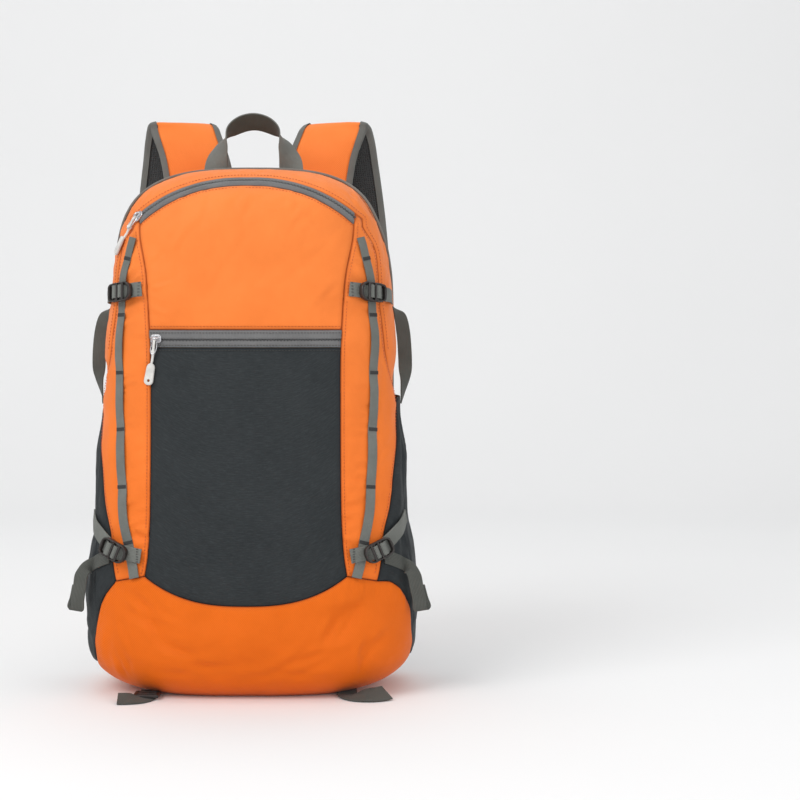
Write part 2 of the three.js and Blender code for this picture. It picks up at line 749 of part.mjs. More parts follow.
function addBackPiping() {
  const sides = 6;
  const lower = (side) => lowerRows.slice(0, -1).map((v) => sidePocketPoint(1, v, side));
  const top = gussetStations.map((station) => stationPoint(station, backSeamTurn(station.z)));
  const seam = [...lower(1), ...top, ...lower(-1).reverse()];
  const lift = pipingRadius + clearance;
  const skins = seam.map((point) => skinPoint(point, lift));
  const loops = skins.map((skin, i) => {
    const before = skins[Math.max(i - 1, 0)].outer;
    const after = skins[Math.min(i + 1, skins.length - 1)].outer;
    const across = after.clone().sub(before).normalize().cross(skin.normal).normalize();
    return steps(0, 1, sides).slice(1).map((share) => skin.outer.clone()
      .addScaledVector(skin.normal, pipingRadius * Math.sin(2 * Math.PI * share))
      .addScaledVector(across, pipingRadius * Math.cos(2 * Math.PI * share)));
  });
  addPiece('back_piping', loft(loops), PIPING_GREY);
}

// Frame on the body at a height and a turn: the lifted point, its normal and the direction up the body
function seatAt(z, turn, side, lift) {
  const { outer, normal } = skinPoint(sidePoint(z, turn, side));
  const up = new THREE.Vector3(0, 0, 1).addScaledVector(normal, -normal.z).normalize();
  return { middle: outer.addScaledVector(normal, lift), normal, across: up };
}

// Places a flat fitting, drawn in its own XY plane, with its X along a direction and its Z along a normal
function layFlat(mesh, middle, along, normal) {
  const x = along.clone().addScaledVector(normal, -along.dot(normal)).normalize();
  const basis = new THREE.Matrix4().makeBasis(x, normal.clone().cross(x), normal);
  mesh.setRotationFromMatrix(basis);
  mesh.position.copy(middle);
}

function roundedRectangle(length, width, radius) {
  const shape = new THREE.Shape();
  const x = length / 2 - radius;
  const y = width / 2 - radius;
  shape.absarc(x, y, radius, 0, Math.PI / 2);
  shape.absarc(-x, y, radius, Math.PI / 2, Math.PI);
  shape.absarc(-x, -y, radius, Math.PI, 1.5 * Math.PI);
  shape.absarc(x, -y, radius, 1.5 * Math.PI, 2 * Math.PI);
  shape.closePath();
  return shape;
}

// Moulded plate with windows through it. at and long are shares of its length, and wide of its width.
function windowedPlate(length, width, thickness, windows) {
  const shape = roundedRectangle(length, width, width * plateCornerShare);
  for (const { at, long, wide } of windows) {
    const halfWidth = (width * wide) / 2;
    const ends = [(at - long / 2) * length, (at + long / 2) * length];
    const corners = [[ends[0], -halfWidth], [ends[1], -halfWidth], [ends[1], halfWidth], [ends[0], halfWidth]];
    shape.holes.push(new THREE.Path(corners.map(([x, y]) => new THREE.Vector2(x, y))));
  }
  return new THREE.ExtrudeGeometry(shape, { depth: thickness, bevelEnabled: false, curveSegments: 2 });
}

// Compression straps. from, buckle and to are places of the webbing: up is a share of bodyHeight, and past is
// a share of the way from the front seam to the ridge.
const STRAP_ROWS = [
  {
    word: 'upper',
    from: { up: 0.768, past: 0.04 },
    buckle: { up: 0.761, past: 0.30 },
    to: { up: 0.752, past: 0.96 },
  },
  {
    word: 'lower',
    from: { up: 0.274, past: 0.04 },
    buckle: { up: 0.282, past: 0.26 },
    to: { up: 0.338, past: 0.80 },
  },
];

function strapTurn(place) {
  return frontSeamTurn(place.up * bodyHeight) * (1 - place.past);
}

// Place on a compression strap, from 0 at the front seam through buckleShare at its buckle to 1 on the side
function strapPlace(row, t) {
  const beyond = (t - buckleShare) / (1 - buckleShare);
  const [a, b, s] = t < buckleShare ? [row.from, row.buckle, t / buckleShare] : [row.buckle, row.to, beyond];
  return { z: mix(a.up, b.up, s) * bodyHeight, turn: mix(strapTurn(a), strapTurn(b), s) };
}

function strapStations(row, side) {
  const rise = webbingThickness + 2 * clearance;
  return steps(0, 1, strapSteps).map((t) => {
    const { z, turn } = strapPlace(row, t);
    const over = smoothStep(-0.1, 0.12, t) * (1 - smoothStep(0.75, 1, t));
    return seatAt(z, turn, side, strapLift + webbingThickness / 2 + over * rise);
  });
}

const BUCKLE_WINDOWS = [
  { at: -0.30, long: 0.11, wide: 0.66 },
  { at: -0.12, long: 0.11, wide: 0.70 },
  { at: 0.31, long: 0.11, wide: 0.62 },
];
const LOCK_WINDOWS = [
  { at: -0.22, long: 0.14, wide: 0.72 },
  { at: 0.22, long: 0.14, wide: 0.76 },
];

function addBuckle(row, stations, name) {
  const index = Math.round(buckleShare * strapSteps);
  const { middle, normal } = stations[index];
  const along = stations[index + 1].middle.clone().sub(stations[index - 1].middle).normalize();
  const seat = middle.clone().addScaledVector(normal, webbingThickness / 2 + clearance);
  const plate = windowedPlate(buckleLength, buckleWidth, buckleThickness, BUCKLE_WINDOWS);
  layFlat(addPiece(name, plate, HARDWARE_BLACK, 0.5), seat, along.negate(), normal);
}

// Pull loop of the upper strap, sewn to the side under the strap and to the hem of the side pocket. fall is the
// way from the strap to that hem, out and forward are shares of strapWidth from the ridge, and swing turns the
// webbing from front-to-back to across.
const UPPER_TAIL_ROWS = [
  { fall: 0.10, out: 0.11, forward: 0.00, swing: 0.02 },
  { fall: 0.20, out: 0.14, forward: 0.10, swing: 0.70 },
  { fall: 0.38, out: 0.14, forward: 0.20, swing: 0.98 },
  { fall: 0.52, out: 0.18, forward: 0.25, swing: 0.98 },
  { fall: 0.64, out: 0.30, forward: 0.20, swing: 0.86 },
  { fall: 0.82, out: 0.32, forward: 0.05, swing: 0.55 },
  { fall: 0.96, out: 0.28, forward: 0.00, swing: 0.12 },
  { fall: 1.07, out: 0.22, forward: 0.00, swing: 0.00 },
];

function addUpperTail(side, word) {
  const strapHeight = STRAP_ROWS[0].to.up * bodyHeight;
  const chosen = UPPER_TAIL_ROWS.map(({ fall, out, forward, swing }) => {
    const base = skinPoint(sidePoint(mix(strapHeight, sidePocketTop, fall), 0, side)).outer;
    const reach = strapWidth * (out + 0.5 * swing);
    return {
      middle: base.add(new THREE.Vector3(side * reach, -forward * strapWidth, 0)),
      across: new THREE.Vector3(side * swing, 1 - swing * 0.8, 0),
    };
  });
  addPiece(`${word}_upper_tail`, ribbon(smoothStations(chosen, 2), strapWidth, webbingThickness), WEBBING_GREY);
}

// Pull loop of the lower strap: it is sewn to the side under the strap and hangs doubled beside the body.
// out and forward are shares of strapWidth from the ridge.
const LOWER_TAIL_ROWS = [
  { up: 0.236, out: -0.22, forward: 4.72 },
  { up: 0.204, out: -0.02, forward: 4.50 },
  { up: 0.173, out: 0.24, forward: 4.10 },
  { up: 0.149, out: 0.42, forward: 4.05 },
];
const LOWER_TAIL_SEATS = [
  { up: 0.256, turn: -40 },
  { up: 0.253, turn: -34 },
  { up: 0.250, turn: -28 },
];

function addLowerTail(side, word) {
  const lift = strapLift + webbingThickness / 2;
  const seats = LOWER_TAIL_SEATS.map(({ up, turn }) => {
    const seat = seatAt(up * bodyHeight, turn, side, lift);
    return { ...seat, along: seat.across.clone().cross(seat.normal).multiplyScalar(side) };
  });
  const hang = LOWER_TAIL_ROWS.map(({ up, out, forward }) => ({
    middle: sidePoint(up * bodyHeight, 0, side)
      .add(new THREE.Vector3(side * out * strapWidth, -forward * strapWidth, 0)),
    across: new THREE.Vector3(side * 0.95, 0.30, 0.10),
  }));
  const layerGap = 2.2 * webbingThickness;
  const back = hang.slice(1).reverse().map(({ middle, across }) => ({
    middle: middle.clone().add(new THREE.Vector3(-side * 0.3 * layerGap, layerGap, 0.3 * layerGap)),
    across,
  }));
  const stations = [...seats, ...hang, ...back];
  addPiece(`${word}_lower_tail`, ribbon(stations, strapWidth, webbingThickness), WEBBING_GREY);
}

function addCompressionStraps(side, word) {
  for (const row of STRAP_ROWS) {
    const stations = strapStations(row, side);
    addPiece(`${word}_${row.word}_strap`, ribbon(stations, strapWidth, webbingThickness), WEBBING_GREY);
    addBuckle(row, stations, `${word}_${row.word}_buckle`);
  }
  addUpperTail(side, word);
  addLowerTail(side, word);
}

// Grab handle, from the left foot to the top. rise is a share of handleRise, and the tilt turns the webbing's
// width from across the body at the foot to front and back at the top.
const HANDLE_ROWS = [
  { out: 1.00, rise: 0.01, tilt: 0 },
  { out: 0.98, rise: 0.32, tilt: 8 },
  { out: 0.84, rise: 0.64, tilt: 30 },
  { out: 0.48, rise: 0.89, tilt: 65 },
  { out: 0.00, rise: 0.97, tilt: 90 },
];

function addGrabHandle() {
  const seamTurn = backSeamTurn(zipperOuterEdge(0));
  const seamPoint = stationPoint({ x: 0, z: zipperOuterEdge(0) }, seamTurn);
  const depth = seamPoint.y + 2 * pipingRadius + handleGap;
  const foot = bodyHeight - 2 * clearance;
  const fall = THREE.MathUtils.degToRad(handleLean);
  const lean = new THREE.Vector3(0, Math.cos(fall), -Math.sin(fall));
  const half = HANDLE_ROWS.map(({ out, rise, tilt }) => {
    const angle = THREE.MathUtils.degToRad(tilt);
    return {
      middle: new THREE.Vector3(-out * handleHalfSpan, depth + rise * handleGap, foot + rise * handleRise),
      across: new THREE.Vector3(Math.cos(angle), 0, 0).addScaledVector(lean, Math.sin(angle)),
    };
  });
  const mirrored = half.slice(0, -1).reverse().map(({ middle, across }) => ({
    middle: new THREE.Vector3(-middle.x, middle.y, middle.z),
    across: new THREE.Vector3(-across.x, across.y, across.z),
  }));
  const stations = smoothStations([...half, ...mirrored], 2);
  addPiece('grab_handle', ribbon(stations, handleWidth, webbingThickness), WEBBING_GREY);
}

// Shoulder strap from its seam on the yoke over its fold and down behind the back. out is a share of
// bodyHalfWidth, up of bodyHeight, behind of bodyBackDepth and wide of shoulderWidth.
const SHOULDER_ROWS = [
  { out: 0.365, up: 0.937, behind: 1.080, wide: 1.00, thick: 0.45 },
  { out: 0.375, up: 0.983, behind: 1.090, wide: 1.00, thick: 0.90 },
  { out: 0.405, up: 1.033, behind: 1.110, wide: 1.00, thick: 1.00 },
  { out: 0.450, up: 1.073, behind: 1.160, wide: 1.00, thick: 1.00 },
  { out: 0.487, up: 1.094, behind: 1.270, wide: 1.00, thick: 1.00 },
  { out: 0.515, up: 1.074, behind: 1.390, wide: 1.00, thick: 1.00 },
  { out: 0.545, up: 1.008, behind: 1.480, wide: 1.00, thick: 1.00 },
  { out: 0.590, up: 0.907, behind: 1.530, wide: 0.98, thick: 1.00 },
  { out: 0.630, up: 0.786, behind: 1.530, wide: 0.94, thick: 1.00 },
  { out: 0.660, up: 0.645, behind: 1.480, wide: 0.88, thick: 1.00 },
  { out: 0.665, up: 0.524, behind: 1.400, wide: 0.80, thick: 0.95 },
  { out: 0.655, up: 0.443, behind: 1.330, wide: 0.66, thick: 0.80 },
  { out: 0.650, up: 0.418, behind: 1.310, wide: 0.50, thick: 0.55 },
];

// Corners of a padded section, from its inner face round to its outer face
const PAD_ROWS = [
  { across: -1.00, up: 0.00 },
  { across: -0.92, up: -0.72 },
  { across: -0.50, up: -1.00 },
  { across: 0.50, up: -1.00 },
  { across: 0.92, up: -0.72 },
  { across: 1.00, up: 0.00 },
  { across: 0.92, up: 0.72 },
  { across: 0.50, up: 1.00 },
  { across: -0.50, up: 1.00 },
  { across: -0.92, up: 0.72 },
];

function shoulderStations(side) {
  return SHOULDER_ROWS.map((row) => ({
    ...row,
    middle: new THREE.Vector3(side * row.out * bodyHalfWidth, row.behind * bodyBackDepth, row.up * bodyHeight),
  }));
}

function addShoulderStrap(side, word) {
  const stations = shoulderStations(side);
  const curve = new THREE.CatmullRomCurve3(stations.map((station) => station.middle));
  const last = stations.length - 1;
  const loops = steps(0, last, last * 2).map((place) => {
    const [a, b] = [stations[Math.floor(place)], stations[Math.ceil(place)]];
    const t = place - Math.floor(place);
    const middle = curve.getPoint(place / last);
    const along = curve.getTangent(place / last);
    const across = new THREE.Vector3(1, 0, 0).addScaledVector(along, -along.x).normalize();
    const normal = along.clone().cross(across);
    const halfWidth = (mix(a.wide, b.wide, t) * shoulderWidth) / 2;
    const halfThickness = (mix(a.thick, b.thick, t) * shoulderThickness) / 2;
    return PAD_ROWS.map((corner) => middle.clone()
      .addScaledVector(across, corner.across * halfWidth)
      .addScaledVector(normal, corner.up * halfThickness));
  });
  addPiece(`${word}_shoulder_strap`, loft(loops), ORANGE);
}

// Ladder lock at the end of a shoulder strap, and the webbing from it down to the lower corner of the back
function addLowerWebbing(side, word) {
  const stations = shoulderStations(side);
  const [before, end] = stations.slice(-2).map((station) => station.middle);
  const along = end.clone().sub(before).normalize();
  const across = new THREE.Vector3(1, 0, 0).addScaledVector(along, -along.x).normalize();
  const normal = along.clone().cross(across);
  const middle = end.clone().addScaledVector(along, lockLength / 2 + clearance);
  const lock = windowedPlate(lockLength, lockWidth, lockThickness, LOCK_WINDOWS);
  const seat = middle.clone().addScaledVector(normal, -lockThickness / 2);
  layFlat(addPiece(`${word}_ladder_lock`, lock, HARDWARE_BLACK, 0.5), seat, along, normal);
  const anchorHeight = sidePocketEdge(1) + lowerWebbingWidth;
  const anchor = skinPoint(facePoint(side * lowerWebbingOut, anchorHeight, 1), clearance + webbingThickness / 2);
  const start = middle.clone().addScaledVector(normal, -lockThickness / 2 - clearance - webbingThickness / 2);
  const behind = skinPoint(facePoint(side * lowerWebbingOut, 2 * anchorHeight, 1), lowerWebbingSlack);
  const chosen = [
    { middle: start.clone().addScaledVector(along, -0.4 * lockLength), across },
    { middle: start.clone().addScaledVector(along, 0.5 * lockLength), across },
    { middle: behind.outer, across },
    { middle: anchor.outer, across },
  ];
  const geometry = ribbon(smoothStations(chosen, 4), lowerWebbingWidth, webbingThickness);
  addPiece(`${word}_lower_webbing`, geometry, WEBBING_GREY);
}

// Zip sliders seated on their zips. climb is the zip's angle from the horizontal, lean the pull's from the
// vertical, and out the slider's place as a share of bodyHalfWidth.
const ZIP_ROWS = [
  { word: 'pocket', climb: 0, lean: 10, out: 0.515, height: mix(pocketZipperBottom, pocketZipperTop, 0.49) },
  { word: 'main', climb: 42, lean: 37, out: 0.632, height: mix(zipperInnerEdge(1), zipperOuterEdge(1), 0.55) },
];

// Outline of a zip pull. share is the way from its slider to its end, and wide a share of pullWidth.
const PULL_ROWS = [
  { share: 0.00, wide: 0.42 },
  { share: 0.15, wide: 0.40 },
  { share: 0.32, wide: 0.38 },
  { share: 0.52, wide: 0.40 },
  { share: 0.62, wide: 0.85 },
  { share: 0.80, wide: 1.00 },
  { share: 0.95, wide: 0.95 },
  { share: 1.00, wide: 0.60 },
];

function addZipPull({ word, climb, lean, out, height }) {
  const zipAngle = THREE.MathUtils.degToRad(climb);
  const pullAngle = THREE.MathUtils.degToRad(lean);
  const seat = (share, lift) => {
    const x = -out * bodyHalfWidth - share * pullLength * Math.sin(pullAngle);
    const z = height - share * pullLength * Math.cos(pullAngle);
    const { outer, normal } = skinPoint(facePoint(x, z, -1), lift);
    return { middle: outer, normal };
  };
  const top = seat(0, clearance);
  const along = seat(1, clearance).middle.sub(top.middle).normalize();
  const body = new THREE.ExtrudeGeometry(
    roundedRectangle(sliderLength, sliderWidth, sliderWidth * 0.3),
    { depth: sliderThickness, bevelEnabled: false, curveSegments: 2 },
  );
  const alongZip = new THREE.Vector3(Math.cos(zipAngle), 0, Math.sin(zipAngle));
  layFlat(addPiece(`${word}_slider`, body, PULL_GREY, 0.35, 0.8), top.middle, alongZip, top.normal);
  const loops = PULL_ROWS.map((row) => {
    const overSlider = (sliderThickness + clearance) * (1 - smoothStep(0.15, 0.45, row.share));
    const { middle, normal } = seat(row.share, 2 * clearance + overSlider);
    const across = along.clone().cross(normal).normalize();
    const corner = (a, b) => middle.clone()
      .addScaledVector(across, (a * row.wide * pullWidth) / 2)
      .addScaledVector(normal, b * pullThickness);
    return [corner(-1, 0), corner(1, 0), corner(0.8, 1), corner(-0.8, 1)];
  });
  addPiece(`${word}_pull`, loft(loops), PULL_GREY, 0.6);
}

// Lash straps that come out from under the front corners of the base. Lengths are shares of lashWidth. turn and
// lean give the direction across the webbing, in degrees round the vertical and as a rise.
const LASH_ROWS = {
  left: [
    { x: -4.84, y: -2.45, z: 0.180, turn: 0, lean: 0.00 },
    { x: -4.86, y: -2.85, z: 0.055, turn: 0, lean: 0.00 },
    { x: -4.90, y: -3.30, z: 0.055, turn: 0, lean: 0.00 },
    { x: -5.00, y: -4.10, z: 0.060, turn: -8, lean: 0.00 },
    { x: -5.45, y: -4.65, z: 0.200, turn: -45, lean: 0.25 },
    { x: -6.05, y: -4.80, z: 0.300, turn: -80, lean: 0.45 },
    { x: -6.45, y: -4.85, z: 0.320, turn: -92, lean: 0.50 },
  ],
  right: [
    { x: 5.20, y: -2.20, z: 0.190, turn: 0, lean: 0.00 },
    { x: 5.25, y: -3.00, z: 0.060, turn: 4, lean: 0.00 },
    { x: 5.45, y: -3.65, z: 0.160, turn: 30, lean: 0.20 },
    { x: 5.95, y: -3.90, z: 0.320, turn: 70, lean: 0.45 },
    { x: 6.55, y: -3.60, z: 0.360, turn: 98, lean: 0.50 },
  ],
};

function addLashStraps() {
  for (const { word } of SIDES) {
    const chosen = LASH_ROWS[word].map(({ x, y, z, turn, lean }) => {
      const angle = THREE.MathUtils.degToRad(turn);
      return {
        middle: new THREE.Vector3(x, y, z).multiplyScalar(lashWidth),
        across: new THREE.Vector3(Math.cos(angle), Math.sin(angle), lean),
      };
    });
    const geometry = ribbon(smoothStations(chosen, 3), lashWidth, webbingThickness);
    addPiece(`${word}_lash_strap`, geometry, WEBBING_GREY);
  }
  const [, , near, far] = LASH_ROWS.left;
  const lock = windowedPlate(lashLockLength, lashLockWidth, lashLockThickness, LOCK_WINDOWS);
  const middle = new THREE.Vector3(near.x, mix(near.y, far.y, 0.3), near.z).multiplyScalar(lashWidth);
  middle.z += webbingThickness / 2 + clearance;
  const forwards = new THREE.Vector3(0, -1, 0);
  layFlat(addPiece('left_lash_lock', lock, HARDWARE_BLACK, 0.5), middle, forwards, new THREE.Vector3(0, 0, 1));
}

addFrontPanels();
for (const { side, word } of SIDES) {
  addSideStrip(side, word);
  addSidePocket(side, word);
  addCompressionStraps(side, word);
  addShoulderStrap(side, word);
  addLowerWebbing(side, word);
}
addTopGusset();
addBackPanels();
addBottomPanel();
addBackPiping();
addGrabHandle();
ZIP_ROWS.forEach(addZipPull);
addLashStraps();

export default group;
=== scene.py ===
"""Looks of a packable backpack: cloth panels, webbing, padded straps, zips and buckles. In millimetres."""
import math

import bpy
import numpy as np
from mathutils import Matrix, Vector


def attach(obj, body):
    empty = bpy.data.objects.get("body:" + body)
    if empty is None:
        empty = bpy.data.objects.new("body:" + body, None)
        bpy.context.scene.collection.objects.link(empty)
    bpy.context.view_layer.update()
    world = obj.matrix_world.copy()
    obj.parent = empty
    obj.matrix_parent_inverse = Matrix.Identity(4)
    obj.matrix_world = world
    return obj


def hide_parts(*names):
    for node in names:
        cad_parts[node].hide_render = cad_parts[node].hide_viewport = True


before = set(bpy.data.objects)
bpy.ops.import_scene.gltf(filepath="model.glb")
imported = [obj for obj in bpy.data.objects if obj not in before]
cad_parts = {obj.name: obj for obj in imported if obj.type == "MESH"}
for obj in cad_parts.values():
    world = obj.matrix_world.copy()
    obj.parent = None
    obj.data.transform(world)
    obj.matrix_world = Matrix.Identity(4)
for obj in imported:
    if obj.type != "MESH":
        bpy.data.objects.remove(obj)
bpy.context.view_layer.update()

MM = 0.001

# The body's form. Sizes and tables are the CAD model's, but for the side edge's own column at the left
BODY_HEIGHT, BODY_HALF_WIDTH, BODY_FRONT, BODY_BACK = 517.0, 164.5, 98.0, 86.0
TOP_ROUND, BOTTOM_ROUND, BASE_TUCK = 88.0, 66.0, 6.0
OUTLINE_ROUND, FACE_ROUND, FRONT_ROUND, BACK_ROUND = 2.85, 3.4, 3.0, 4.0
FOLD_DEPTH = 4.0
POCKET_ZIP_BOTTOM, POCKET_ZIP_TOP = 341.0, 358.0
POCKET_FLOOR, POCKET_CORNER_RISE, POCKET_FLOOR_ROUND = 94.0, 28.0, 2.6
ARCH_DROP, ARCH_FALL, ARCH_BAND, ARCH_END_SPREAD, ARCH_ROUND = 11.5, 34.0, 8.0, 3.5, 2.3
SIDE_POCKET_TOP, SIDE_SLACK, SIDE_FLARE, SLACK_FADE = 290.0, 12.0, 1.5, 50.0
STRIP_DROP, BACK_SEAM_ANGLE = 6.0, 27.0
WEBBING, CLEAR, DAISY_WIDTH, STRAP_WIDTH, STRAP_LIFT, BUCKLE_SHARE = 1.6, 0.3, 10.0, 14.0, 0.9, 0.4
LASH_WIDTH, LOWER_WEBBING_WIDTH, HANDLE_WIDTH = 20.0, 20.0, 24.0
HANDLE_HALF_SPAN, HANDLE_RISE, HANDLE_BEHIND = 38.0, 52.0, 6.6
PAD_HALF_WIDTH, PAD_HALF_THICKNESS, PULL_LENGTH, LOCK_LENGTH, LOCK_SINK = 35.0, 4.0, 44.0, 26.0, 2.5
# how thick webbing and cloth are drawn, and the pitches of the panels' grids and the zip teeth
WEB_DRAWN, CLOTH_WALL, STEP, COIL_PITCH = 1.4, 1.2, 2.6, 1.6

# up, half width, front, ridge and back, as shares of the body's sizes
SECTION_ROWS = np.array([
    (0.00, 0.975, 0.92, 0.00, 0.93), (0.12, 0.995, 0.98, 0.00, 0.98), (0.20, 1.000, 1.00, 0.00, 1.00),
    (0.27, 0.982, 0.99, 0.00, 1.00), (0.32, 0.946, 0.98, 0.00, 1.00), (0.40, 0.933, 0.97, 0.00, 1.00),
    (0.46, 0.925, 0.95, 0.00, 1.00), (0.52, 0.892, 0.94, 0.00, 1.00), (0.58, 0.882, 0.93, 0.01, 1.00),
    (0.66, 0.870, 0.92, 0.03, 1.00), (0.77, 0.847, 0.89, 0.10, 1.02), (0.83, 0.820, 0.86, 0.20, 1.03),
    (0.89, 0.790, 0.84, 0.34, 1.04), (1.00, 0.790, 0.80, 0.62, 1.05),
])
FRONT_SEAM_ROWS = np.array([
    (0.22, 0.600), (0.28, 0.572), (0.36, 0.557), (0.56, 0.553), (0.66, 0.556),
    (0.74, 0.574), (0.80, 0.590), (0.86, 0.628), (0.88, 0.633), (0.91, 0.633),
])
SIDE_SEAM_ROWS = np.array([
    (0.22, 0.775), (0.30, 0.845), (0.36, 0.900), (0.44, 0.936), (0.50, 0.976), (0.56, 0.990),
    (0.60, 0.968), (0.65, 0.936), (0.74, 0.930), (0.80, 0.932), (0.85, 0.925), (0.885, 0.866),
])
DAISY_ROWS = np.array([
    (0.22, 0.640), (0.31, 0.698), (0.37, 0.720), (0.52, 0.739), (0.67, 0.744), (0.73, 0.740),
    (0.78, 0.726), (0.83, 0.692), (0.87, 0.652),
])
BACK_SEAM_ROWS = np.array([
    (0.50, 0.85), (0.56, 0.85), (0.65, 0.70), (0.77, 0.40), (0.84, -0.05), (0.88, -0.40),
    (0.91, -0.55), (0.94, -0.50), (0.97, -0.22),
])
# along the side's lower edge, and its height at the left and the right, as shares of the pocket floor
SIDE_EDGE_ROWS = np.array([
    (0.000, 1.234, 1.234), (0.120, 1.090, 1.220), (0.190, 0.970, 1.180), (0.235, 0.830, 1.140),
    (0.265, 0.560, 1.100), (0.310, 0.380, 1.040), (0.400, 0.320, 0.900), (0.450, 0.310, 0.720),
    (0.500, 0.310, 0.540), (0.560, 0.310, 0.380), (0.660, 0.310, 0.310), (1.000, 0.310, 0.310),
])
# across, up, turn, long, wide and deep of the main folds
FOLD_ROWS = np.array([
    (0.80, 0.752, 8, 0.075, 0.050, -0.65), (-0.80, 0.748, -10, 0.075, 0.050, -0.70),
    (0.82, 0.280, 12, 0.080, 0.052, -0.70), (-0.82, 0.276, -14, 0.080, 0.052, -0.65),
    (0.70, 0.480, 86, 0.180, 0.024, -0.45), (-0.71, 0.520, 93, 0.190, 0.024, -0.45),
    (0.36, 0.840, 24, 0.110, 0.036, -0.50), (-0.30, 0.800, -18, 0.120, 0.040, -0.45),
    (0.50, 0.720, 62, 0.090, 0.030, -0.45), (0.22, 0.450, 84, 0.170, 0.040, -0.40),
    (-0.26, 0.400, 97, 0.180, 0.045, -0.40), (0.58, 0.155, 38, 0.090, 0.028, -0.75),
    (-0.60, 0.150, -36, 0.090, 0.028, -0.75), (0.84, 0.170, -52, 0.075, 0.026, -0.80),
    (-0.86, 0.165, 50, 0.075, 0.026, -0.75), (0.00, 0.120, 2, 0.240, 0.040, 0.55),
])


def read_rows(rows, column, at):
    """Value of one column of a table at a place, on a smooth curve through the rows."""
    places, values = rows[:, 0], rows[:, column]
    count = len(places)
    at = np.clip(at, places[0], places[-1])
    i = np.clip(np.searchsorted(places, at) - 1, 0, count - 2)
    before, after = np.maximum(np.arange(count) - 1, 0), np.minimum(np.arange(count) + 1, count - 1)
    slope = (values[after] - values[before]) / (places[after] - places[before])
    span = places[i + 1] - places[i]
    t = (at - places[i]) / span
    start = 2 * t**3 - 3 * t**2 + 1
    bend = (t**3 - 2 * t**2 + t) * slope[i] + (t**3 - t**2) * slope[i + 1]
    return start * values[i] + (1 - start) * values[i + 1] + bend * span


def mix(a, b, t):
    return a + (b - a) * t


def smooth_step(start, end, at):
    t = np.clip((at - start) / (end - start), 0, 1)
    return t * t * (3 - 2 * t)


def section_at(z):
    wide, front, ridge, back = (read_rows(SECTION_ROWS, k, z / BODY_HEIGHT) for k in (1, 2, 3, 4))
    return wide * BODY_HALF_WIDTH, -front * BODY_FRONT, ridge * BODY_BACK, back * BODY_BACK


def reach_of(z, face):
    _, front, ridge, back = section_at(z)
    return np.where(face < 0, ridge - front, back - ridge)


def round_share(z):
    top = (z - BODY_HEIGHT + TOP_ROUND) / TOP_ROUND
    bottom = (BOTTOM_ROUND - BASE_TUCK - z) / BOTTOM_ROUND
    return np.maximum(0, np.maximum(top, bottom))


def outline_share(x, z):
    wide = section_at(z)[0]
    return (np.abs(x / wide) ** OUTLINE_ROUND + round_share(z) ** OUTLINE_ROUND) ** (1 / OUTLINE_ROUND)


def body_field(points):
    x, y, z = points[..., 0], points[..., 1], points[..., 2]
    offset = y - section_at(z)[2]
    power = np.where(offset < 0, FRONT_ROUND, BACK_ROUND)
    return outline_share(x, z) ** FACE_ROUND + (np.abs(offset) / reach_of(z, offset)) ** power


def body_normal(points):
    slopes = []
    for axis in range(3):
        step = np.zeros(3)
        step[axis] = 0.05
        slopes.append(body_field(points + step) - body_field(points - step))
    normal = np.stack(slopes, axis=-1)
    normal /= np.maximum(np.linalg.norm(normal, axis=-1, keepdims=True), 1e-12)
    flat = (points[..., 2] < 1e-6) & (body_field(points) < 0.99)
    normal[flat] = (0, 0, -1)
    return normal


def fold_height(points):
    ridge = section_at(points[..., 2])[2]
    fade = smooth_step(ridge + 24, ridge - 16, points[..., 1]) * smooth_step(4.5, 34.5, points[..., 2])
    height = 0
    for across, up, turn, long, wide, deep in FOLD_ROWS:
        c, s = math.cos(math.radians(turn)), math.sin(math.radians(turn))
        dx, dz = points[..., 0] - across * BODY_HALF_WIDTH, points[..., 2] - up * BODY_HEIGHT
        a, b = (dx * c + dz * s) / (long * BODY_HEIGHT), (dz * c - dx * s) / (wide * BODY_HEIGHT)
        height = height + deep * FOLD_DEPTH * np.exp(-(a**2) - b**2)
    return height * fade


def skin(points, lift=0.0):
    """Body points moved along their normals by the main folds and a lift, and those normals."""
    normal = body_normal(points)
    return points + normal * np.asarray(fold_height(points) + lift)[..., None], normal


def face_point(x, z, face):
    x, z = np.broadcast_arrays(np.asarray(x, float), np.asarray(z, float))
    inside = np.maximum(1 - np.minimum(outline_share(x, z), 1) ** FACE_ROUND, 0)
    depth = reach_of(z, np.full_like(z, face)) * inside ** (1 / (FRONT_ROUND if face < 0 else BACK_ROUND))
    return np.stack([x, section_at(z)[2] + face * depth, z], axis=-1)


def turn_of(x, z):
    return -np.degrees(np.arccos(np.minimum(outline_share(x, z), 1) ** (FACE_ROUND / 2)))


def turn_shares(turn):
    angle = np.radians(np.abs(turn))
    power = np.where(turn < 0, 2 / FRONT_ROUND, 2 / BACK_ROUND)
    return np.where(turn < 0, -1.0, 1.0), np.cos(angle) ** (2 / FACE_ROUND), np.sin(angle) ** power


def side_point(z, turn, side):
    z, turn = np.broadcast_arrays(np.asarray(z, float), np.asarray(turn, float))
    face, outline, depth = turn_shares(turn)
    wide, _, ridge, _ = section_at(z)
    x = wide * np.maximum(outline**OUTLINE_ROUND - round_share(z) ** OUTLINE_ROUND, 0) ** (1 / OUTLINE_ROUND)
    return np.stack([side * x, ridge + face * reach_of(z, face) * depth, z], axis=-1)


def cap_angle(x, z):
    half = OUTLINE_ROUND / 2
    return np.arctan2(round_share(z) ** half, np.abs(x / section_at(z)[0]) ** half)


def cap_point(angle, turn, side):
    face, outline, depth = turn_shares(turn)
    power = 2 / OUTLINE_ROUND
    z = BODY_HEIGHT - TOP_ROUND + TOP_ROUND * outline * np.maximum(np.sin(angle), 0) ** power
    wide, _, ridge, _ = section_at(z)
    x = side * wide * outline * np.maximum(np.cos(angle), 0) ** power
    return np.stack([x, ridge + face * reach_of(z, face) * depth, z], axis=-1)


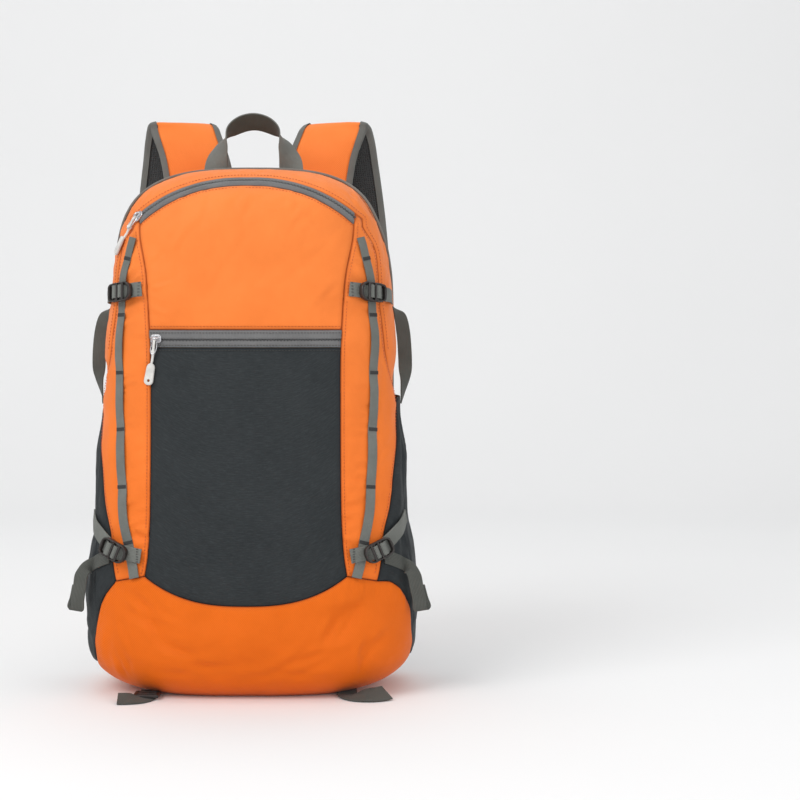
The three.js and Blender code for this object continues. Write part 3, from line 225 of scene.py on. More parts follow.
def front_seam_x(z):
    return read_rows(FRONT_SEAM_ROWS, 1, z / BODY_HEIGHT) * BODY_HALF_WIDTH


def front_seam_turn(z):
    return turn_of(front_seam_x(z), z)


def side_seam_turn(z):
    return turn_of(read_rows(SIDE_SEAM_ROWS, 1, z / BODY_HEIGHT) * section_at(z)[0], z)


def back_seam_turn(z):
    return read_rows(BACK_SEAM_ROWS, 1, z / BODY_HEIGHT) * BACK_SEAM_ANGLE


def pocket_floor(share):
    return POCKET_FLOOR + POCKET_CORNER_RISE * np.abs(share) ** POCKET_FLOOR_ROUND


def arch_outer(share):
    return BODY_HEIGHT - ARCH_DROP - ARCH_FALL * np.abs(share) ** ARCH_ROUND


def arch_inner(share):
    return arch_outer(share) - ARCH_BAND - ARCH_END_SPREAD * np.abs(share) ** ARCH_ROUND


STRIP_BOTTOM, STRIP_TOP = pocket_floor(1.0), arch_inner(1.0)
ARCH_HALF = float(front_seam_x(STRIP_TOP))
SIDES = ((-1, "left"), (1, "right"))

# beyond this distance from a seam the cloth gets no painted seam shade
FAR_FROM_SEAM = 20.0
# Seeded smooth noise for the small creases
LATTICE = np.random.default_rng(11).uniform(-1, 1, (64, 64))


def noise(u, v):
    i, j = np.floor(u).astype(int), np.floor(v).astype(int)
    fu, fv = u - i, v - j
    fu, fv = fu * fu * (3 - 2 * fu), fv * fv * (3 - 2 * fv)
    a, b = LATTICE[i % 64, j % 64], LATTICE[(i + 1) % 64, j % 64]
    c, d = LATTICE[i % 64, (j + 1) % 64], LATTICE[(i + 1) % 64, (j + 1) % 64]
    return mix(mix(a, b, fu), mix(c, d, fu), fv)


def creases(s, t, rows, seed):
    """Depth of scattered creases. Each row is a patch of them, in a panel's own flat millimetres."""
    rng = np.random.default_rng(seed)
    height = np.zeros_like(s)
    for middle_s, middle_t, spread_s, spread_t, turn, fan, long, wide, deep, count in rows:
        for _ in range(count):
            cs, ct = rng.normal(middle_s, spread_s), rng.normal(middle_t, spread_t)
            angle = math.radians(rng.normal(turn, fan))
            length, width = long * rng.uniform(0.6, 1.4), wide * rng.uniform(0.7, 1.4)
            depth, bend = deep * rng.uniform(0.5, 1.3), rng.normal(0, 0.12) / long
            c, sn = math.cos(angle), math.sin(angle)
            a = (s - cs) * c + (t - ct) * sn
            b = (t - ct) * c - (s - cs) * sn - bend * a * a
            body = np.exp(-((a / length) ** 2))
            ridge = np.exp(-(((b - 1.4 * width) / (1.2 * width)) ** 2))
            height += depth * body * (0.7 * ridge - np.exp(-((b / width) ** 2)))
    return height


def unit(v):
    return v / np.maximum(np.linalg.norm(v, axis=-1, keepdims=True), 1e-12)


def lengths_along(points):
    return np.concatenate([[0], np.cumsum(np.linalg.norm(np.diff(points, axis=0), axis=1))])


def new_piece(name, vertices, faces, finish, uv=None, edge=None, sharp=35):
    """Mesh object from millimetres, as are uv and edge, which is each vertex's distance from a seam."""
    mesh = bpy.data.meshes.new(name)
    mesh.from_pydata((np.asarray(vertices, float) * MM).tolist(), [], [list(face) for face in faces])
    if uv is not None:
        corners = np.empty(len(mesh.loops), dtype=np.int32)
        mesh.loops.foreach_get("vertex_index", corners)
        layer = mesh.uv_layers.new(name="flat")
        layer.data.foreach_set("uv", (np.asarray(uv, float)[corners] * MM).ravel())
    edge = np.full(len(vertices), FAR_FROM_SEAM) if edge is None else np.asarray(edge, float).ravel()
    mesh.attributes.new("edge", "FLOAT", "POINT").data.foreach_set("value", edge)
    mesh.shade_smooth()
    mesh.set_sharp_from_angle(angle=math.radians(sharp))
    piece = bpy.data.objects.new(name, mesh)
    bpy.context.scene.collection.objects.link(piece)
    mesh.materials.append(finish)
    return piece


def settle(piece, slot, *nodes):
    """Puts a finished piece on the body, with the CAD nodes that it stands for."""
    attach(piece, "root")
    if nodes:
        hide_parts(*nodes)
    return piece


def quads(grid, wrap=False):
    """Faces of a grid of vertex numbers. A wrapped grid closes on itself along its rows."""
    ahead = np.roll(grid, -1, axis=1) if wrap else grid[:, 1:]
    here = grid if wrap else grid[:, :-1]
    return np.stack([here[:-1], ahead[:-1], ahead[1:], here[1:]], axis=-1).reshape(-1, 4)


def flat_lengths(points):
    """Distances along the columns and up the rows of a grid."""
    across = np.linalg.norm(np.diff(points, axis=1), axis=-1)
    up = np.linalg.norm(np.diff(points, axis=0), axis=-1)
    s = np.concatenate([np.zeros((len(points), 1)), np.cumsum(across, axis=1)], axis=1)
    t = np.concatenate([np.zeros((1, points.shape[1])), np.cumsum(up, axis=0)], axis=0)
    return s, t


def shell(name, outer, normal, finish, uv, edge, ring=False):
    """Closed sheet of cloth from a grid of outer points. A ring shrinks to one point in its last row."""
    if ring:
        pull = unit(outer[1] - outer[0])
        outer[0] += pull * 0.3
    else:
        for at, near in (((0,), (1,)), ((-1,), (-2,)), ((slice(None), 0), (slice(None), 1)),
                         ((slice(None), -1), (slice(None), -2))):
            step = outer[near] - outer[at]
            outer[at] += unit(step) * np.minimum(np.linalg.norm(step, axis=-1, keepdims=True) * 0.4, 0.3)
    rows, columns = outer.shape[:2]
    front = np.arange(rows * columns).reshape(rows, columns)
    back = front + rows * columns
    faces = [quads(front, ring), quads(back, ring)[:, ::-1]]
    rims = [np.stack([back[0], front[0]])]
    if not ring:
        rims += [np.stack([front[-1], back[-1]]), np.stack([front[:, 0], back[:, 0]]),
                 np.stack([back[:, -1], front[:, -1]])]
    faces += [quads(rim, ring) for rim in rims]
    faces = np.concatenate(faces)
    middle = quads(front, ring)[(rows // 2) * (columns if ring else columns - 1) + columns // 2]
    corner = outer.reshape(-1, 3)[middle]
    facing = np.cross(corner[1] - corner[0], corner[3] - corner[0]) @ normal.reshape(-1, 3)[middle[0]]
    if facing < 0:
        faces = faces[:, ::-1]
    vertices = np.concatenate([outer.reshape(-1, 3), (outer - normal * CLOTH_WALL).reshape(-1, 3)])
    uv = np.concatenate([uv.reshape(-1, 2)] * 2)
    edge = np.concatenate([edge.ravel(), np.full(edge.size, FAR_FROM_SEAM)])
    return new_piece(name, vertices, faces.tolist(), finish, uv, edge, 50)


def sew(node, slot, base, seed, lift=0.0, rows=(), pucker=0.5, swell=0.0, borders="lrbt"):
    """One sewn panel of the body: its folds, creases, seam dips and puckers. borders names its sewn edges."""
    s, t = flat_lengths(base)
    width, height = s[:, -1:], t[-1:, :]
    gaps = {"l": s, "r": width - s, "b": t, "t": height - t}
    edge = np.minimum.reduce([gaps[word] for word in borders])
    u, v = s - width / 2, t
    lift = lift + creases(u, v, rows, seed)
    inside = 1 - np.exp(-((edge / 16) ** 2))
    lift = lift + swell * inside + inside * 0.55 * noise(u / 31 + seed, v / 27)
    lift = lift + inside * 0.22 * noise(u / 9, v / 11 + seed)
    along = np.where(np.minimum(gaps["l"], gaps["r"]) < np.minimum(gaps["b"], gaps["t"]), v, u)
    wave = noise(along / 5.5 + seed, np.full_like(along, seed + 0.5))
    wave = wave + 0.6 * noise(along / 11, edge / 30 + seed)
    lift = lift + pucker * wave * np.exp(-((edge - 5) / 8) ** 2) * (1 - np.exp(-((edge / 2.2) ** 2)))
    lift = lift - 1.0 * np.exp(-((edge / 1.6) ** 2)) - 0.35 * np.exp(-((edge / 5.5) ** 2))
    outer, normal = skin(base, lift)
    uv = np.stack([u, v], axis=-1)
    name = f"{node}_{slot.split('_')[1]}"
    piece = shell(name, outer, normal, PANEL_FINISHES[slot], uv, edge)
    settle(piece, slot, node)


def curve(points, count):
    """Points of the smooth curve that the CAD model draws through its chosen points."""
    points = np.asarray(points, float)
    last = len(points) - 1
    found = []
    for place in np.linspace(0, 1, count):
        i = min(int(place * last), last - 1)
        w = place * last - i
        p1, p2 = points[i], points[i + 1]
        p0 = points[i - 1] if i > 0 else 2 * p1 - p2
        p3 = points[i + 2] if i + 2 <= last else 2 * p2 - p1
        d0, d1, d2 = (max(np.linalg.norm(b - a), 1e-8) ** 0.5 for a, b in ((p0, p1), (p1, p2), (p2, p3)))
        m1 = ((p1 - p0) / d0 - (p2 - p0) / (d0 + d1) + (p2 - p1) / d1) * d1
        m2 = ((p2 - p1) / d1 - (p3 - p1) / (d1 + d2) + (p3 - p2) / d2) * d1
        found.append(p1 + m1 * w + (3 * (p2 - p1) - 2 * m1 - m2) * w**2 + (2 * (p1 - p2) + m1 + m2) * w**3)
    return np.array(found)


def resample(points, pitch, *others):
    """Evenly spaced points along a line, with whatever else goes with its points."""
    lengths = lengths_along(points)
    count = max(int(lengths[-1] / pitch), 2)
    at = np.linspace(0, lengths[-1], count + 1)
    return [np.stack([np.interp(at, lengths, line[:, k]) for k in range(line.shape[1])], axis=1)
            for line in (points, *others)]


def loft(name, loops, finish, uv):
    """Closed body through loops with as many points each."""
    loops = np.asarray(loops)
    rows, count = loops.shape[:2]
    grid = np.arange(rows * count).reshape(rows, count)
    faces = quads(grid, True).tolist() + [grid[0][::-1].tolist(), grid[-1].tolist()]
    a, b = loops[:2]
    facing = np.cross(a[1] - a[0], b[0] - a[0]) @ (a[0] - a.mean(axis=0))
    if facing < 0:
        faces = [face[::-1] for face in faces]
    return new_piece(name, loops.reshape(-1, 3), faces, finish, uv, None, 60)


# across and up of a webbing's rounded section, as shares of its width and thickness
WEB_PROFILE = [
    (-0.5, 0.15), (-0.485, 0.45), (-0.45, 0.52), (-0.30, 0.46), (0.0, 0.44), (0.30, 0.46), (0.45, 0.52),
    (0.485, 0.45), (0.5, 0.15), (0.5, -0.15), (0.485, -0.45), (0.45, -0.5), (0.0, -0.5), (-0.45, -0.5),
    (-0.485, -0.45), (-0.5, -0.15),
]


def tangents(points):
    return unit(np.gradient(points, axis=0))


def web(name, middles, acrosses, width, thickness, finish, pitch=2.2, wobble=0.0, square=True):
    """Webbing with soft edges through stations, evenly respaced. Square webbing turns across its own line."""
    middles, acrosses = np.asarray(middles, float), np.asarray(acrosses, float)
    middles, acrosses = resample(middles, pitch, acrosses)
    along = tangents(middles)
    lean = np.sum(acrosses * along, axis=1, keepdims=True) if square else 0.0
    across = unit(acrosses - along * lean)
    normal = unit(np.cross(along, across))
    lengths = lengths_along(middles)
    drift = wobble * noise(lengths / 14 + width, lengths / 50)
    middles = middles + across * drift[:, None]
    loops, uv = [], []
    for middle, side, up, length in zip(middles, across, normal, lengths):
        loops.append([middle + side * a * width + up * b * thickness for a, b in WEB_PROFILE])
        uv += [(a * width + (0 if b > 0 else 40), length) for a, b in WEB_PROFILE]
    return loft(name, loops, finish, uv)


def tube(name, points, normals, radius, finish, sides=8, flat=1.0):
    """Round cord or piping along points, with flat below 1 for an oval one."""
    along = tangents(points)
    across = unit(np.cross(along, normals))
    normal = np.cross(across, along)
    angles = np.linspace(0, 2 * math.pi, sides, endpoint=False)
    lengths = lengths_along(points)
    radius = np.broadcast_to(np.asarray(radius, float), len(points))
    loops = [[p + a * math.cos(k) * r + n * math.sin(k) * r * flat for k in angles]
             for p, a, n, r in zip(points, across, normal, radius)]
    uv = [(r * k, length) for r, length in zip(radius, lengths) for k in angles]
    return loft(name, loops, finish, uv)


def stitches(name, lines, finish, pitch=3.3, long=2.5, radius=0.32):
    """Rows of sewn stitches. Each line is its points and their outward normals."""
    vertices, faces = [], []
    for points, normals in lines:
        points, normals = resample(np.asarray(points), pitch, np.asarray(normals))
        along = tangents(points)
        normals = unit(normals - along * np.sum(normals * along, axis=1, keepdims=True))
        across = np.cross(along, normals)
        for p, a, n, b in zip(points, along, normals, across):
            first = len(vertices)
            vertices += [p - a * long / 2 - n * 0.2, p + a * long / 2 - n * 0.2]
            for end in (-0.28, 0.28):
                ring = p + a * long * end
                vertices += [ring + b * radius, ring + n * radius, ring - b * radius, ring - n * radius]
            for k in range(4):
                m = (k + 1) % 4
                faces += [(first, first + 2 + m, first + 2 + k), (first + 1, first + 6 + k, first + 6 + m),
                          (first + 2 + k, first + 2 + m, first + 6 + m, first + 6 + k)]
    return new_piece(name, vertices, faces, finish, sharp=60)


def tack(middle, along, across, normal, width, long=2.4):
    """Loops of a bar tack: a close zigzag of thread across a webbing."""
    count = int(width / 0.7)
    lines = []
    for k in range(count + 1):
        place = middle + across * (k / count - 0.5) * width
        lean = along * long / 2
        lines.append((np.array([place - lean, place + lean]), np.array([normal, normal])))
    return lines


class Finish:
    """Small helper that builds one node material."""

    def __init__(self, name, roughness=0.6, metallic=0.0, sheen=0.0, specular=0.5):
        self.material = bpy.data.materials.new(name)
        self.material.use_nodes = True
        self.tree = self.material.node_tree
        self.tree.nodes.clear()
        self.output = self.tree.nodes.new("ShaderNodeOutputMaterial")
        self.shader = self.tree.nodes.new("ShaderNodeBsdfPrincipled")
        self.tree.links.new(self.shader.outputs[0], self.output.inputs["Surface"])
        self.put(self.shader, "Roughness", roughness)
        self.put(self.shader, "Metallic", metallic)
        self.put(self.shader, "Specular IOR Level", specular)
        self.put(self.shader, "Sheen Weight", sheen)
        self.put(self.shader, "Sheen Roughness", 0.4)

    def feed(self, socket, value):
        if isinstance(value, bpy.types.NodeSocket):
            self.tree.links.new(value, socket)
        elif isinstance(value, tuple) and len(value) == 3 and socket.type == "RGBA":
            socket.default_value = (*value, 1.0)
        else:
            socket.default_value = value

    def put(self, node, name, value):
        self.feed(node.inputs[name], value)

    def node(self, kind, **settings):
        node = self.tree.nodes.new("ShaderNode" + kind)
        for name, value in settings.items():
            setattr(node, name, value)
        return node

    def math(self, operation, a, b):
        node = self.node("Math", operation=operation)
        self.put(node, 0, a)
        self.put(node, 1, b)
        return node.outputs[0]

    def blend(self, factor, a, b):
        node = self.node("Mix", data_type="RGBA")
        for name, value in (("Factor_Float", factor), ("A_Color", a), ("B_Color", b)):
            self.feed(next(s for s in node.inputs if s.identifier == name), value)
        return next(s for s in node.outputs if s.identifier == "Result_Color")

    def flat(self, scale=1.0, turn=0.0, stretch=1.0):
        """The piece's own flat millimetres, turned and scaled."""
        node = self.node("Mapping")
        self.tree.links.new(self.node("UVMap", uv_map="flat").outputs[0], node.inputs["Vector"])
        node.inputs["Scale"].default_value = (1000 * scale, 1000 * scale * stretch, 1)
        node.inputs["Rotation"].default_value = (0, 0, math.radians(turn))
        return node.outputs[0]

    def place(self, scale):
        node = self.node("Mapping")
        self.tree.links.new(self.node("NewGeometry").outputs["Position"], node.inputs["Vector"])
        node.inputs["Scale"].default_value = (1000 * scale,) * 3
        return node.outputs[0]

    def noise(self, vector, detail=3.0, roughness=0.55, distortion=0.0):
        node = self.node("TexNoise")
        self.tree.links.new(vector, node.inputs["Vector"])
        values = {"Scale": 1.0, "Detail": detail, "Roughness": roughness, "Distortion": distortion}
        for name, value in values.items():
            node.inputs[name].default_value = value
        return node.outputs["Fac"]

    def wave(self, vector, direction, distortion=0.0):
        """Waves one unit apart along a direction."""
        node = self.node("TexWave", bands_direction=direction)
        self.tree.links.new(vector, node.inputs["Vector"])
        node.inputs["Scale"].default_value = math.pi / 10
        node.inputs["Distortion"].default_value = distortion
        return node.outputs["Fac"]

    def span(self, value, low, high, to_low=0.0, to_high=1.0):
        node = self.node("MapRange", clamp=True)
        self.tree.links.new(value, node.inputs["Value"])
        for name, number in (("From Min", low), ("From Max", high), ("To Min", to_low), ("To Max", to_high)):
            node.inputs[name].default_value = number
        return node.outputs[0]

    def edge(self, reach):
        """1 at a seam, falling to 0 at a distance in millimetres: the mask of the painted shade along seams."""
        node = self.node("Attribute", attribute_name="edge")
        return self.span(node.outputs["Fac"], 0.0, reach, 1.0, 0.0)

    def bump(self, *heights):
        """Adds up height fields, each with its depth in millimetres."""
        normal = None
        for height, depth in heights:
            node = self.node("Bump")
            node.inputs["Strength"].default_value = 1.0
            node.inputs["Distance"].default_value = depth * MM
            self.tree.links.new(height, node.inputs["Height"])
            if normal is not None:
                self.tree.links.new(normal, node.inputs["Normal"])
            normal = node.outputs[0]
        self.tree.links.new(normal, self.shader.inputs["Normal"])


def linear(red, green, blue):
    """A colour as seen on a screen, from 0 to 255, as the shader wants it."""
    shares_of_255 = (red / 255, green / 255, blue / 255)
    return tuple(c / 12.92 if c <= 10 / 255 else ((c + 0.055) / 1.055) ** 2.4 for c in shares_of_255)


def plain_weave(finish, pitch):
    """Over-and-under threads: two waves that take turns."""
    across = finish.wave(finish.flat(1 / pitch), "X")
    up = finish.wave(finish.flat(1 / pitch), "Y")
    return finish.math("MAXIMUM", across, up), finish.math("MULTIPLY", across, up)


def cloth_finish(name, low, high, seam, weave=0.85, crinkle=1.0, twill=False, slub=0.0, roughness=0.62,
                 sheen=0.08):
    """Nylon cloth. low and high are its colours at the foot and the top of the bag, painted light that draws
    the same cloth lighter towards the top; seam is its darker tone and the colour of the painted shade along
    its seams.
    """
    f = Finish(name, roughness, sheen=sheen, specular=0.2)
    # painted light: the cloth's colour runs from low at the foot to high at the top of the bag, lighter where
    # more light falls
    height_for_painted_light = f.node("SeparateXYZ")
    f.tree.links.new(f.node("NewGeometry").outputs["Position"], height_for_painted_light.inputs[0])
    color = f.blend(f.span(height_for_painted_light.outputs["Z"], 0.02, 0.50), low, high)
    cloud = f.noise(f.place(1 / 38), 2.0)
    color = f.blend(f.span(cloud, 0.35, 0.68, 0.0, 0.10), color, seam)
    if twill:
        lines = f.wave(f.flat(1 / 1.5, 38), "X", distortion=0.6)
        fine = f.noise(f.flat(1 / 1.0, 38, 0.22), 2.0)
        color = f.blend(f.math("MULTIPLY", lines, 0.20), color, seam)
        fields = [(lines, 0.10), (fine, 0.12)]
    else:
        top, cell = plain_weave(f, weave)
        color = f.blend(f.math("MULTIPLY", cell, 0.14), color, seam)
        fields = [(top, 0.05)]
    if slub:
        streak = f.noise(f.flat(1 / 9.0, 0, 10.0), 3.0, 0.65)
        fleck = f.noise(f.flat(1 / 3.0, 0, 4.0), 2.0, 0.6)
        both = f.math("ADD", f.math("MULTIPLY", streak, 0.7), f.math("MULTIPLY", fleck, 0.3))
        color = f.blend(f.span(both, 0.50, 0.72, 0.0, slub), color, linear(66, 71, 73))
        color = f.blend(f.span(both, 0.50, 0.28, 0.0, slub), color, seam)
        fields.append((streak, 0.05))
    wrinkle = f.noise(f.flat(1 / 13.0), 3.0, 0.5, 0.6)
    soft = f.noise(f.flat(1 / 42.0), 2.0, 0.5, 0.4)
    fields = [(soft, 2.2 * crinkle), (wrinkle, 0.55 * crinkle)] + fields
    # painted shade along the seams: the cloth darkens towards a seam, for the shadow in the gap between panels
    color = f.blend(f.math("MULTIPLY", f.edge(1.5), 0.85), color, seam)
    color = f.blend(f.math("MULTIPLY", f.edge(5.0), 0.20), color, seam)
    f.put(f.shader, "Base Color", color)
    f.put(f.shader, "Roughness", f.span(cloud, 0.3, 0.7, roughness - 0.06, roughness + 0.06))
    f.bump(*fields)
    return f.material


def webbing_finish(name, light, dark, rib=1.15, lengthwise=0.2):
    """Ribbed webbing: rows of close ribs, crossed by yarns that run along it."""
    f = Finish(name, 0.72, sheen=0.08, specular=0.2)
    ribs = f.wave(f.flat(1 / rib), "Y", distortion=0.4)
    yarn = f.wave(f.flat(1 / 1.5), "X")
    grain = f.noise(f.flat(1 / 0.7, 0, 0.5), 2.0)
    cloud = f.noise(f.place(1 / 24), 2.0)
    color = f.blend(f.span(cloud, 0.3, 0.7, 0.6, 1.0), dark, light)
    color = f.blend(f.math("MULTIPLY", ribs, 0.55 - lengthwise), color, dark)
    color = f.blend(f.math("MULTIPLY", yarn, lengthwise), color, dark)
    f.put(f.shader, "Base Color", color)
    f.bump((ribs, 0.18), (yarn, 0.6 * lengthwise), (grain, 0.10))
    return f.material


def plastic_finish(name, color, roughness=0.42):
    f = Finish(name, roughness)
    grain = f.noise(f.place(1 / 0.5), 3.0)
    cloud = f.noise(f.place(1 / 9.0), 2.0)
    worn = tuple(c * 1.9 for c in color)
    f.put(f.shader, "Base Color", f.blend(f.span(cloud, 0.3, 0.7, 0.0, 0.35), color, worn))
    f.put(f.shader, "Roughness", f.span(cloud, 0.3, 0.7, roughness - 0.08, roughness + 0.1))
    f.bump((grain, 0.04))
    return f.material


def metal_finish(name):
    f = Finish(name, 0.26, 1.0)
    scratch = f.noise(f.place(1 / 0.6), 4.0, 0.7)
    color = f.blend(f.span(scratch, 0.35, 0.7), linear(205, 205, 207), linear(172, 172, 176))
    f.put(f.shader, "Base Color", color)
    f.put(f.shader, "Roughness", f.span(scratch, 0.3, 0.7, 0.20, 0.38))
    f.bump((scratch, 0.02))
    return f.material


def thread_finish(name, color, dark):
    f = Finish(name, 0.6, sheen=0.3)
    twist = f.noise(f.place(1 / 0.6), 2.0)
    f.put(f.shader, "Base Color", f.blend(twist, color, dark))
    f.bump((twist, 0.05))
    return f.material


def mesh_finish(name):
    """Open spacer mesh of small holes in rows."""
    f = Finish(name, 0.85, sheen=0.4)
    cells = f.node("TexVoronoi", feature="F1")
    f.tree.links.new(f.flat(1 / 2.3), cells.inputs["Vector"])
    cells.inputs["Scale"].default_value = 1.0
    cells.inputs["Randomness"].default_value = 0.25
    hole = f.span(cells.outputs["Distance"], 0.16, 0.42)
    f.put(f.shader, "Base Color", f.blend(hole, linear(14, 16, 17), linear(58, 61, 62)))
    f.bump((hole, 0.5))
    return f.material


# each cloth's third colour is its darker tone for weave and mottling and the colour of its painted seam shade;
# its first two are painted light, lighter towards the top
ORANGE_DARK = linear(150, 60, 8)
ORANGE = cloth_finish("orange_cloth", linear(237, 112, 24), linear(239, 131, 60), ORANGE_DARK)
BASE = cloth_finish("base_cloth", linear(228, 104, 4), linear(240, 116, 14), ORANGE_DARK, crinkle=0.7,
                    twill=True)
DARK = cloth_finish("dark_cloth", linear(42, 46, 48), linear(44, 48, 50), linear(22, 24, 26), 0.9, 0.55,
                    slub=0.45, roughness=0.7, sheen=0.04)
STRAP_CLOTH = cloth_finish("strap_cloth", linear(242, 126, 44), linear(244, 132, 58), ORANGE_DARK, crinkle=0.35,
                           twill=True)
WEB = webbing_finish("webbing", linear(124, 126, 121), linear(84, 86, 82))
# painted shade: a darker copy of the webbing, for the upper tails and the lash straps
WEB_PAINTED_SHADE = webbing_finish("webbing_shaded", linear(92, 92, 87), linear(60, 60, 56))
# painted shade: a darker copy of the webbing, tinted against the orange bounce, for the grab handle's inner
# faces
WEB_SHADE = webbing_finish("webbing_inner_face_painted_shade", linear(80, 88, 84), linear(54, 60, 57))
WEB_LINED = webbing_finish("webbing_lined", linear(100, 102, 97), linear(56, 57, 54), 1.0, 0.5)
TAPE = webbing_finish("zip_tape", linear(124, 124, 124), linear(92, 92, 93), 0.9)
PIPING = webbing_finish("piping_cloth", linear(134, 132, 126), linear(94, 92, 88), 1.0)
BINDING = webbing_finish("binding_tape", linear(118, 119, 115), linear(84, 85, 82), 1.0)
COIL = plastic_finish("zip_coil", linear(52, 52, 53))
BUCKLE = plastic_finish("buckle_plastic", linear(38, 33, 31))
METAL = metal_finish("slider_metal")
GRIP = plastic_finish("pull_rubber", linear(196, 194, 190), 0.5)
MESH = mesh_finish("strap_mesh")
THREAD = thread_finish("orange_thread", linear(214, 96, 26), linear(140, 58, 12))
THREAD_GREY = thread_finish("grey_thread", linear(58, 58, 58), linear(30, 30, 30))
PANEL_FINISHES = {"dark_cloth": DARK, "orange_cloth": ORANGE, "zip_tape": TAPE}


def shares(length):
    """Evenly spaced shares from 0 to 1 for a length in millimetres."""
    return np.linspace(0, 1, max(int(round(length / STEP)), 2) + 1)


def front_grid(heights, seam_heights):
    """Points of the front between its two seams, from heights(u, v) and the seams' own seam_heights(v)."""
    v = shares(float(np.abs(heights(0.0, 1.0) - heights(0.0, 0.0))))[:, None]
    u = np.linspace(-1, 1, int(2 * ARCH_HALF / STEP))[None, :]
    z = heights(u, v)
    x = u * front_seam_x(seam_heights(v))
    return face_point(np.broadcast_to(x, z.shape), z, -1)


# Patches of creases in a panel's own flat millimetres: middle across and up, spread across and up, turn,
# fan, long, wide, deep and count
FRONT_CREASES = [
    (60, 118, 14, 12, 62, 18, 15, 3.2, 0.9, 6), (-62, 62, 14, 14, 70, 24, 16, 3.5, 0.8, 6),
    (0, 75, 40, 30, 88, 40, 26, 6.0, 0.6, 8), (-30, 122, 20, 8, 80, 25, 16, 3.4, 0.7, 5),
    (80, 30, 6, 12, 20, 20, 12, 3.0, 0.8, 5), (-82, 24, 6, 12, 160, 20, 12, 3.0, 0.8, 5),
]
POCKET_CREASES = [
    (0, 130, 40, 60, 88, 30, 40, 8.0, 0.5, 7), (-70, 25, 14, 14, 130, 16, 18, 4.0, 0.7, 4),
    (70, 25, 14, 14, 50, 16, 18, 4.0, 0.7, 4), (0, 225, 60, 8, 88, 22, 12, 4.0, 0.4, 8),
]
STRIP_CREASES = [
    (-14, 40, 5, 36, 4, 10, 9, 2.4, 1.0, 9), (-13, 110, 5, 40, -4, 10, 9, 2.4, 0.9, 9),
    (-12, 185, 5, 30, 8, 10, 9, 2.6, 0.9, 7), (0, 262, 10, 8, 10, 14, 14, 3.0, 1.5, 6),
    (-2, 292, 10, 8, -24, 16, 14, 3.2, 1.4, 5), (12, 140, 5, 60, 80, 14, 26, 3.0, 0.6, 6),
    (-10, 24, 6, 8, 30, 16, 12, 2.6, 1.2, 5), (2, 330, 10, 16, 70, 20, 14, 3.0, 0.8, 4),
]
SIDE_CREASES = [
    (-40, 90, 12, 50, 84, 8, 52, 3.6, 1.2, 9), (-6, 120, 16, 50, 88, 8, 55, 4.0, 1.1, 8),
    (30, 110, 14, 60, 94, 9, 50, 4.2, 1.0, 7), (-20, 40, 20, 20, 40, 20, 26, 4.0, 1.2, 5),
]
GUSSET_CREASES = [
    (0, 30, 260, 12, 84, 18, 12, 3.0, 0.8, 30), (-150, 30, 30, 14, 60, 24, 16, 3.4, 1.2, 10),
    (150, 30, 30, 14, 120, 24, 16, 3.4, 1.2, 10),
]
YOKE_CREASES = [
    (0, 120, 60, 40, 88, 26, 34, 6.0, 0.8, 8), (-100, 130, 30, 40, 70, 24, 24, 4.5, 1.0, 7),
    (100, 130, 30, 40, 110, 24, 24, 4.5, 1.0, 7),
]


def front_panels():
    lower = front_grid(lambda u, v: mix(pocket_floor(u), POCKET_ZIP_BOTTOM, v),
                       lambda v: mix(STRIP_BOTTOM, POCKET_ZIP_BOTTOM, v))
    sew("front_pocket", "dark_cloth", lower, 3, rows=POCKET_CREASES,
        pucker=0.35, swell=0.8)
    v = np.linspace(0, 1, 25)[:, None]
    u = np.linspace(-1, 1, 110)[None, :]
    z = mix(POCKET_ZIP_BOTTOM, POCKET_ZIP_TOP, v) + 0 * u
    band = face_point(u * front_seam_x(z), z, -1)
    # the lower tape lies flat and the upper flap stands over the coil
    flap = 1.5 * smooth_step(0.47, 0.53, v) * (1 - smooth_step(0.90, 0.99, v))
    flap = flap - 1.0 * np.exp(-(((v - 0.44) / 0.035) ** 2)) + 0.15 * noise(u * 12, v * 3)
    sew("pocket_zipper", "zip_tape", band, 4, lift=flap, pucker=0.12)
    upper = front_grid(lambda u, v: mix(POCKET_ZIP_TOP, arch_inner(u), v),
                       lambda v: mix(POCKET_ZIP_TOP, STRIP_TOP, v))
    sew("front_panel", "orange_cloth", upper, 5, rows=FRONT_CREASES,
        swell=0.6)
    v = np.linspace(0, 1, 13)[:, None]
    u = np.linspace(-1, 1, 120)[None, :]
    arch = face_point(u * ARCH_HALF + 0 * v, mix(arch_inner(u), arch_outer(u), v), -1)
    ridge = 1.3 * np.exp(-(((v - 0.26) / 0.20) ** 2)) + 1.3 * np.exp(-(((v - 0.80) / 0.18) ** 2)) + 0 * u
    sew("main_zipper", "zip_tape", arch, 6, lift=ridge, pucker=0.15)


def zip_coil(name, points, normals, width):
    """Teeth of a zip coil, one small rounded block after another."""
    points, normals = resample(points, COIL_PITCH, normals)
    along = tangents(points)
    across = unit(np.cross(along, normals))
    vertices, faces = [], []
    for k, (p, a, b, n) in enumerate(zip(points, along, across, normals)):
        p = p + b * (0.25 if k % 2 else -0.25) * width
        first = len(vertices)
        for end in (-0.36, 0.36):
            base = p + a * end * COIL_PITCH
            vertices += [base - b * width * 0.5, base - b * width * 0.34 + n * 0.7,
                         base + b * width * 0.34 + n * 0.7, base + b * width * 0.5]
        faces += [(first + i, first + i + 1, first + i + 5, first + i + 4) for i in range(3)]
        faces += [(first, first + 3, first + 2, first + 1), (first + 4, first + 5, first + 6, first + 7),
                  (first, first + 4, first + 7, first + 3)]
    return new_piece(name, vertices, faces, COIL, sharp=70)


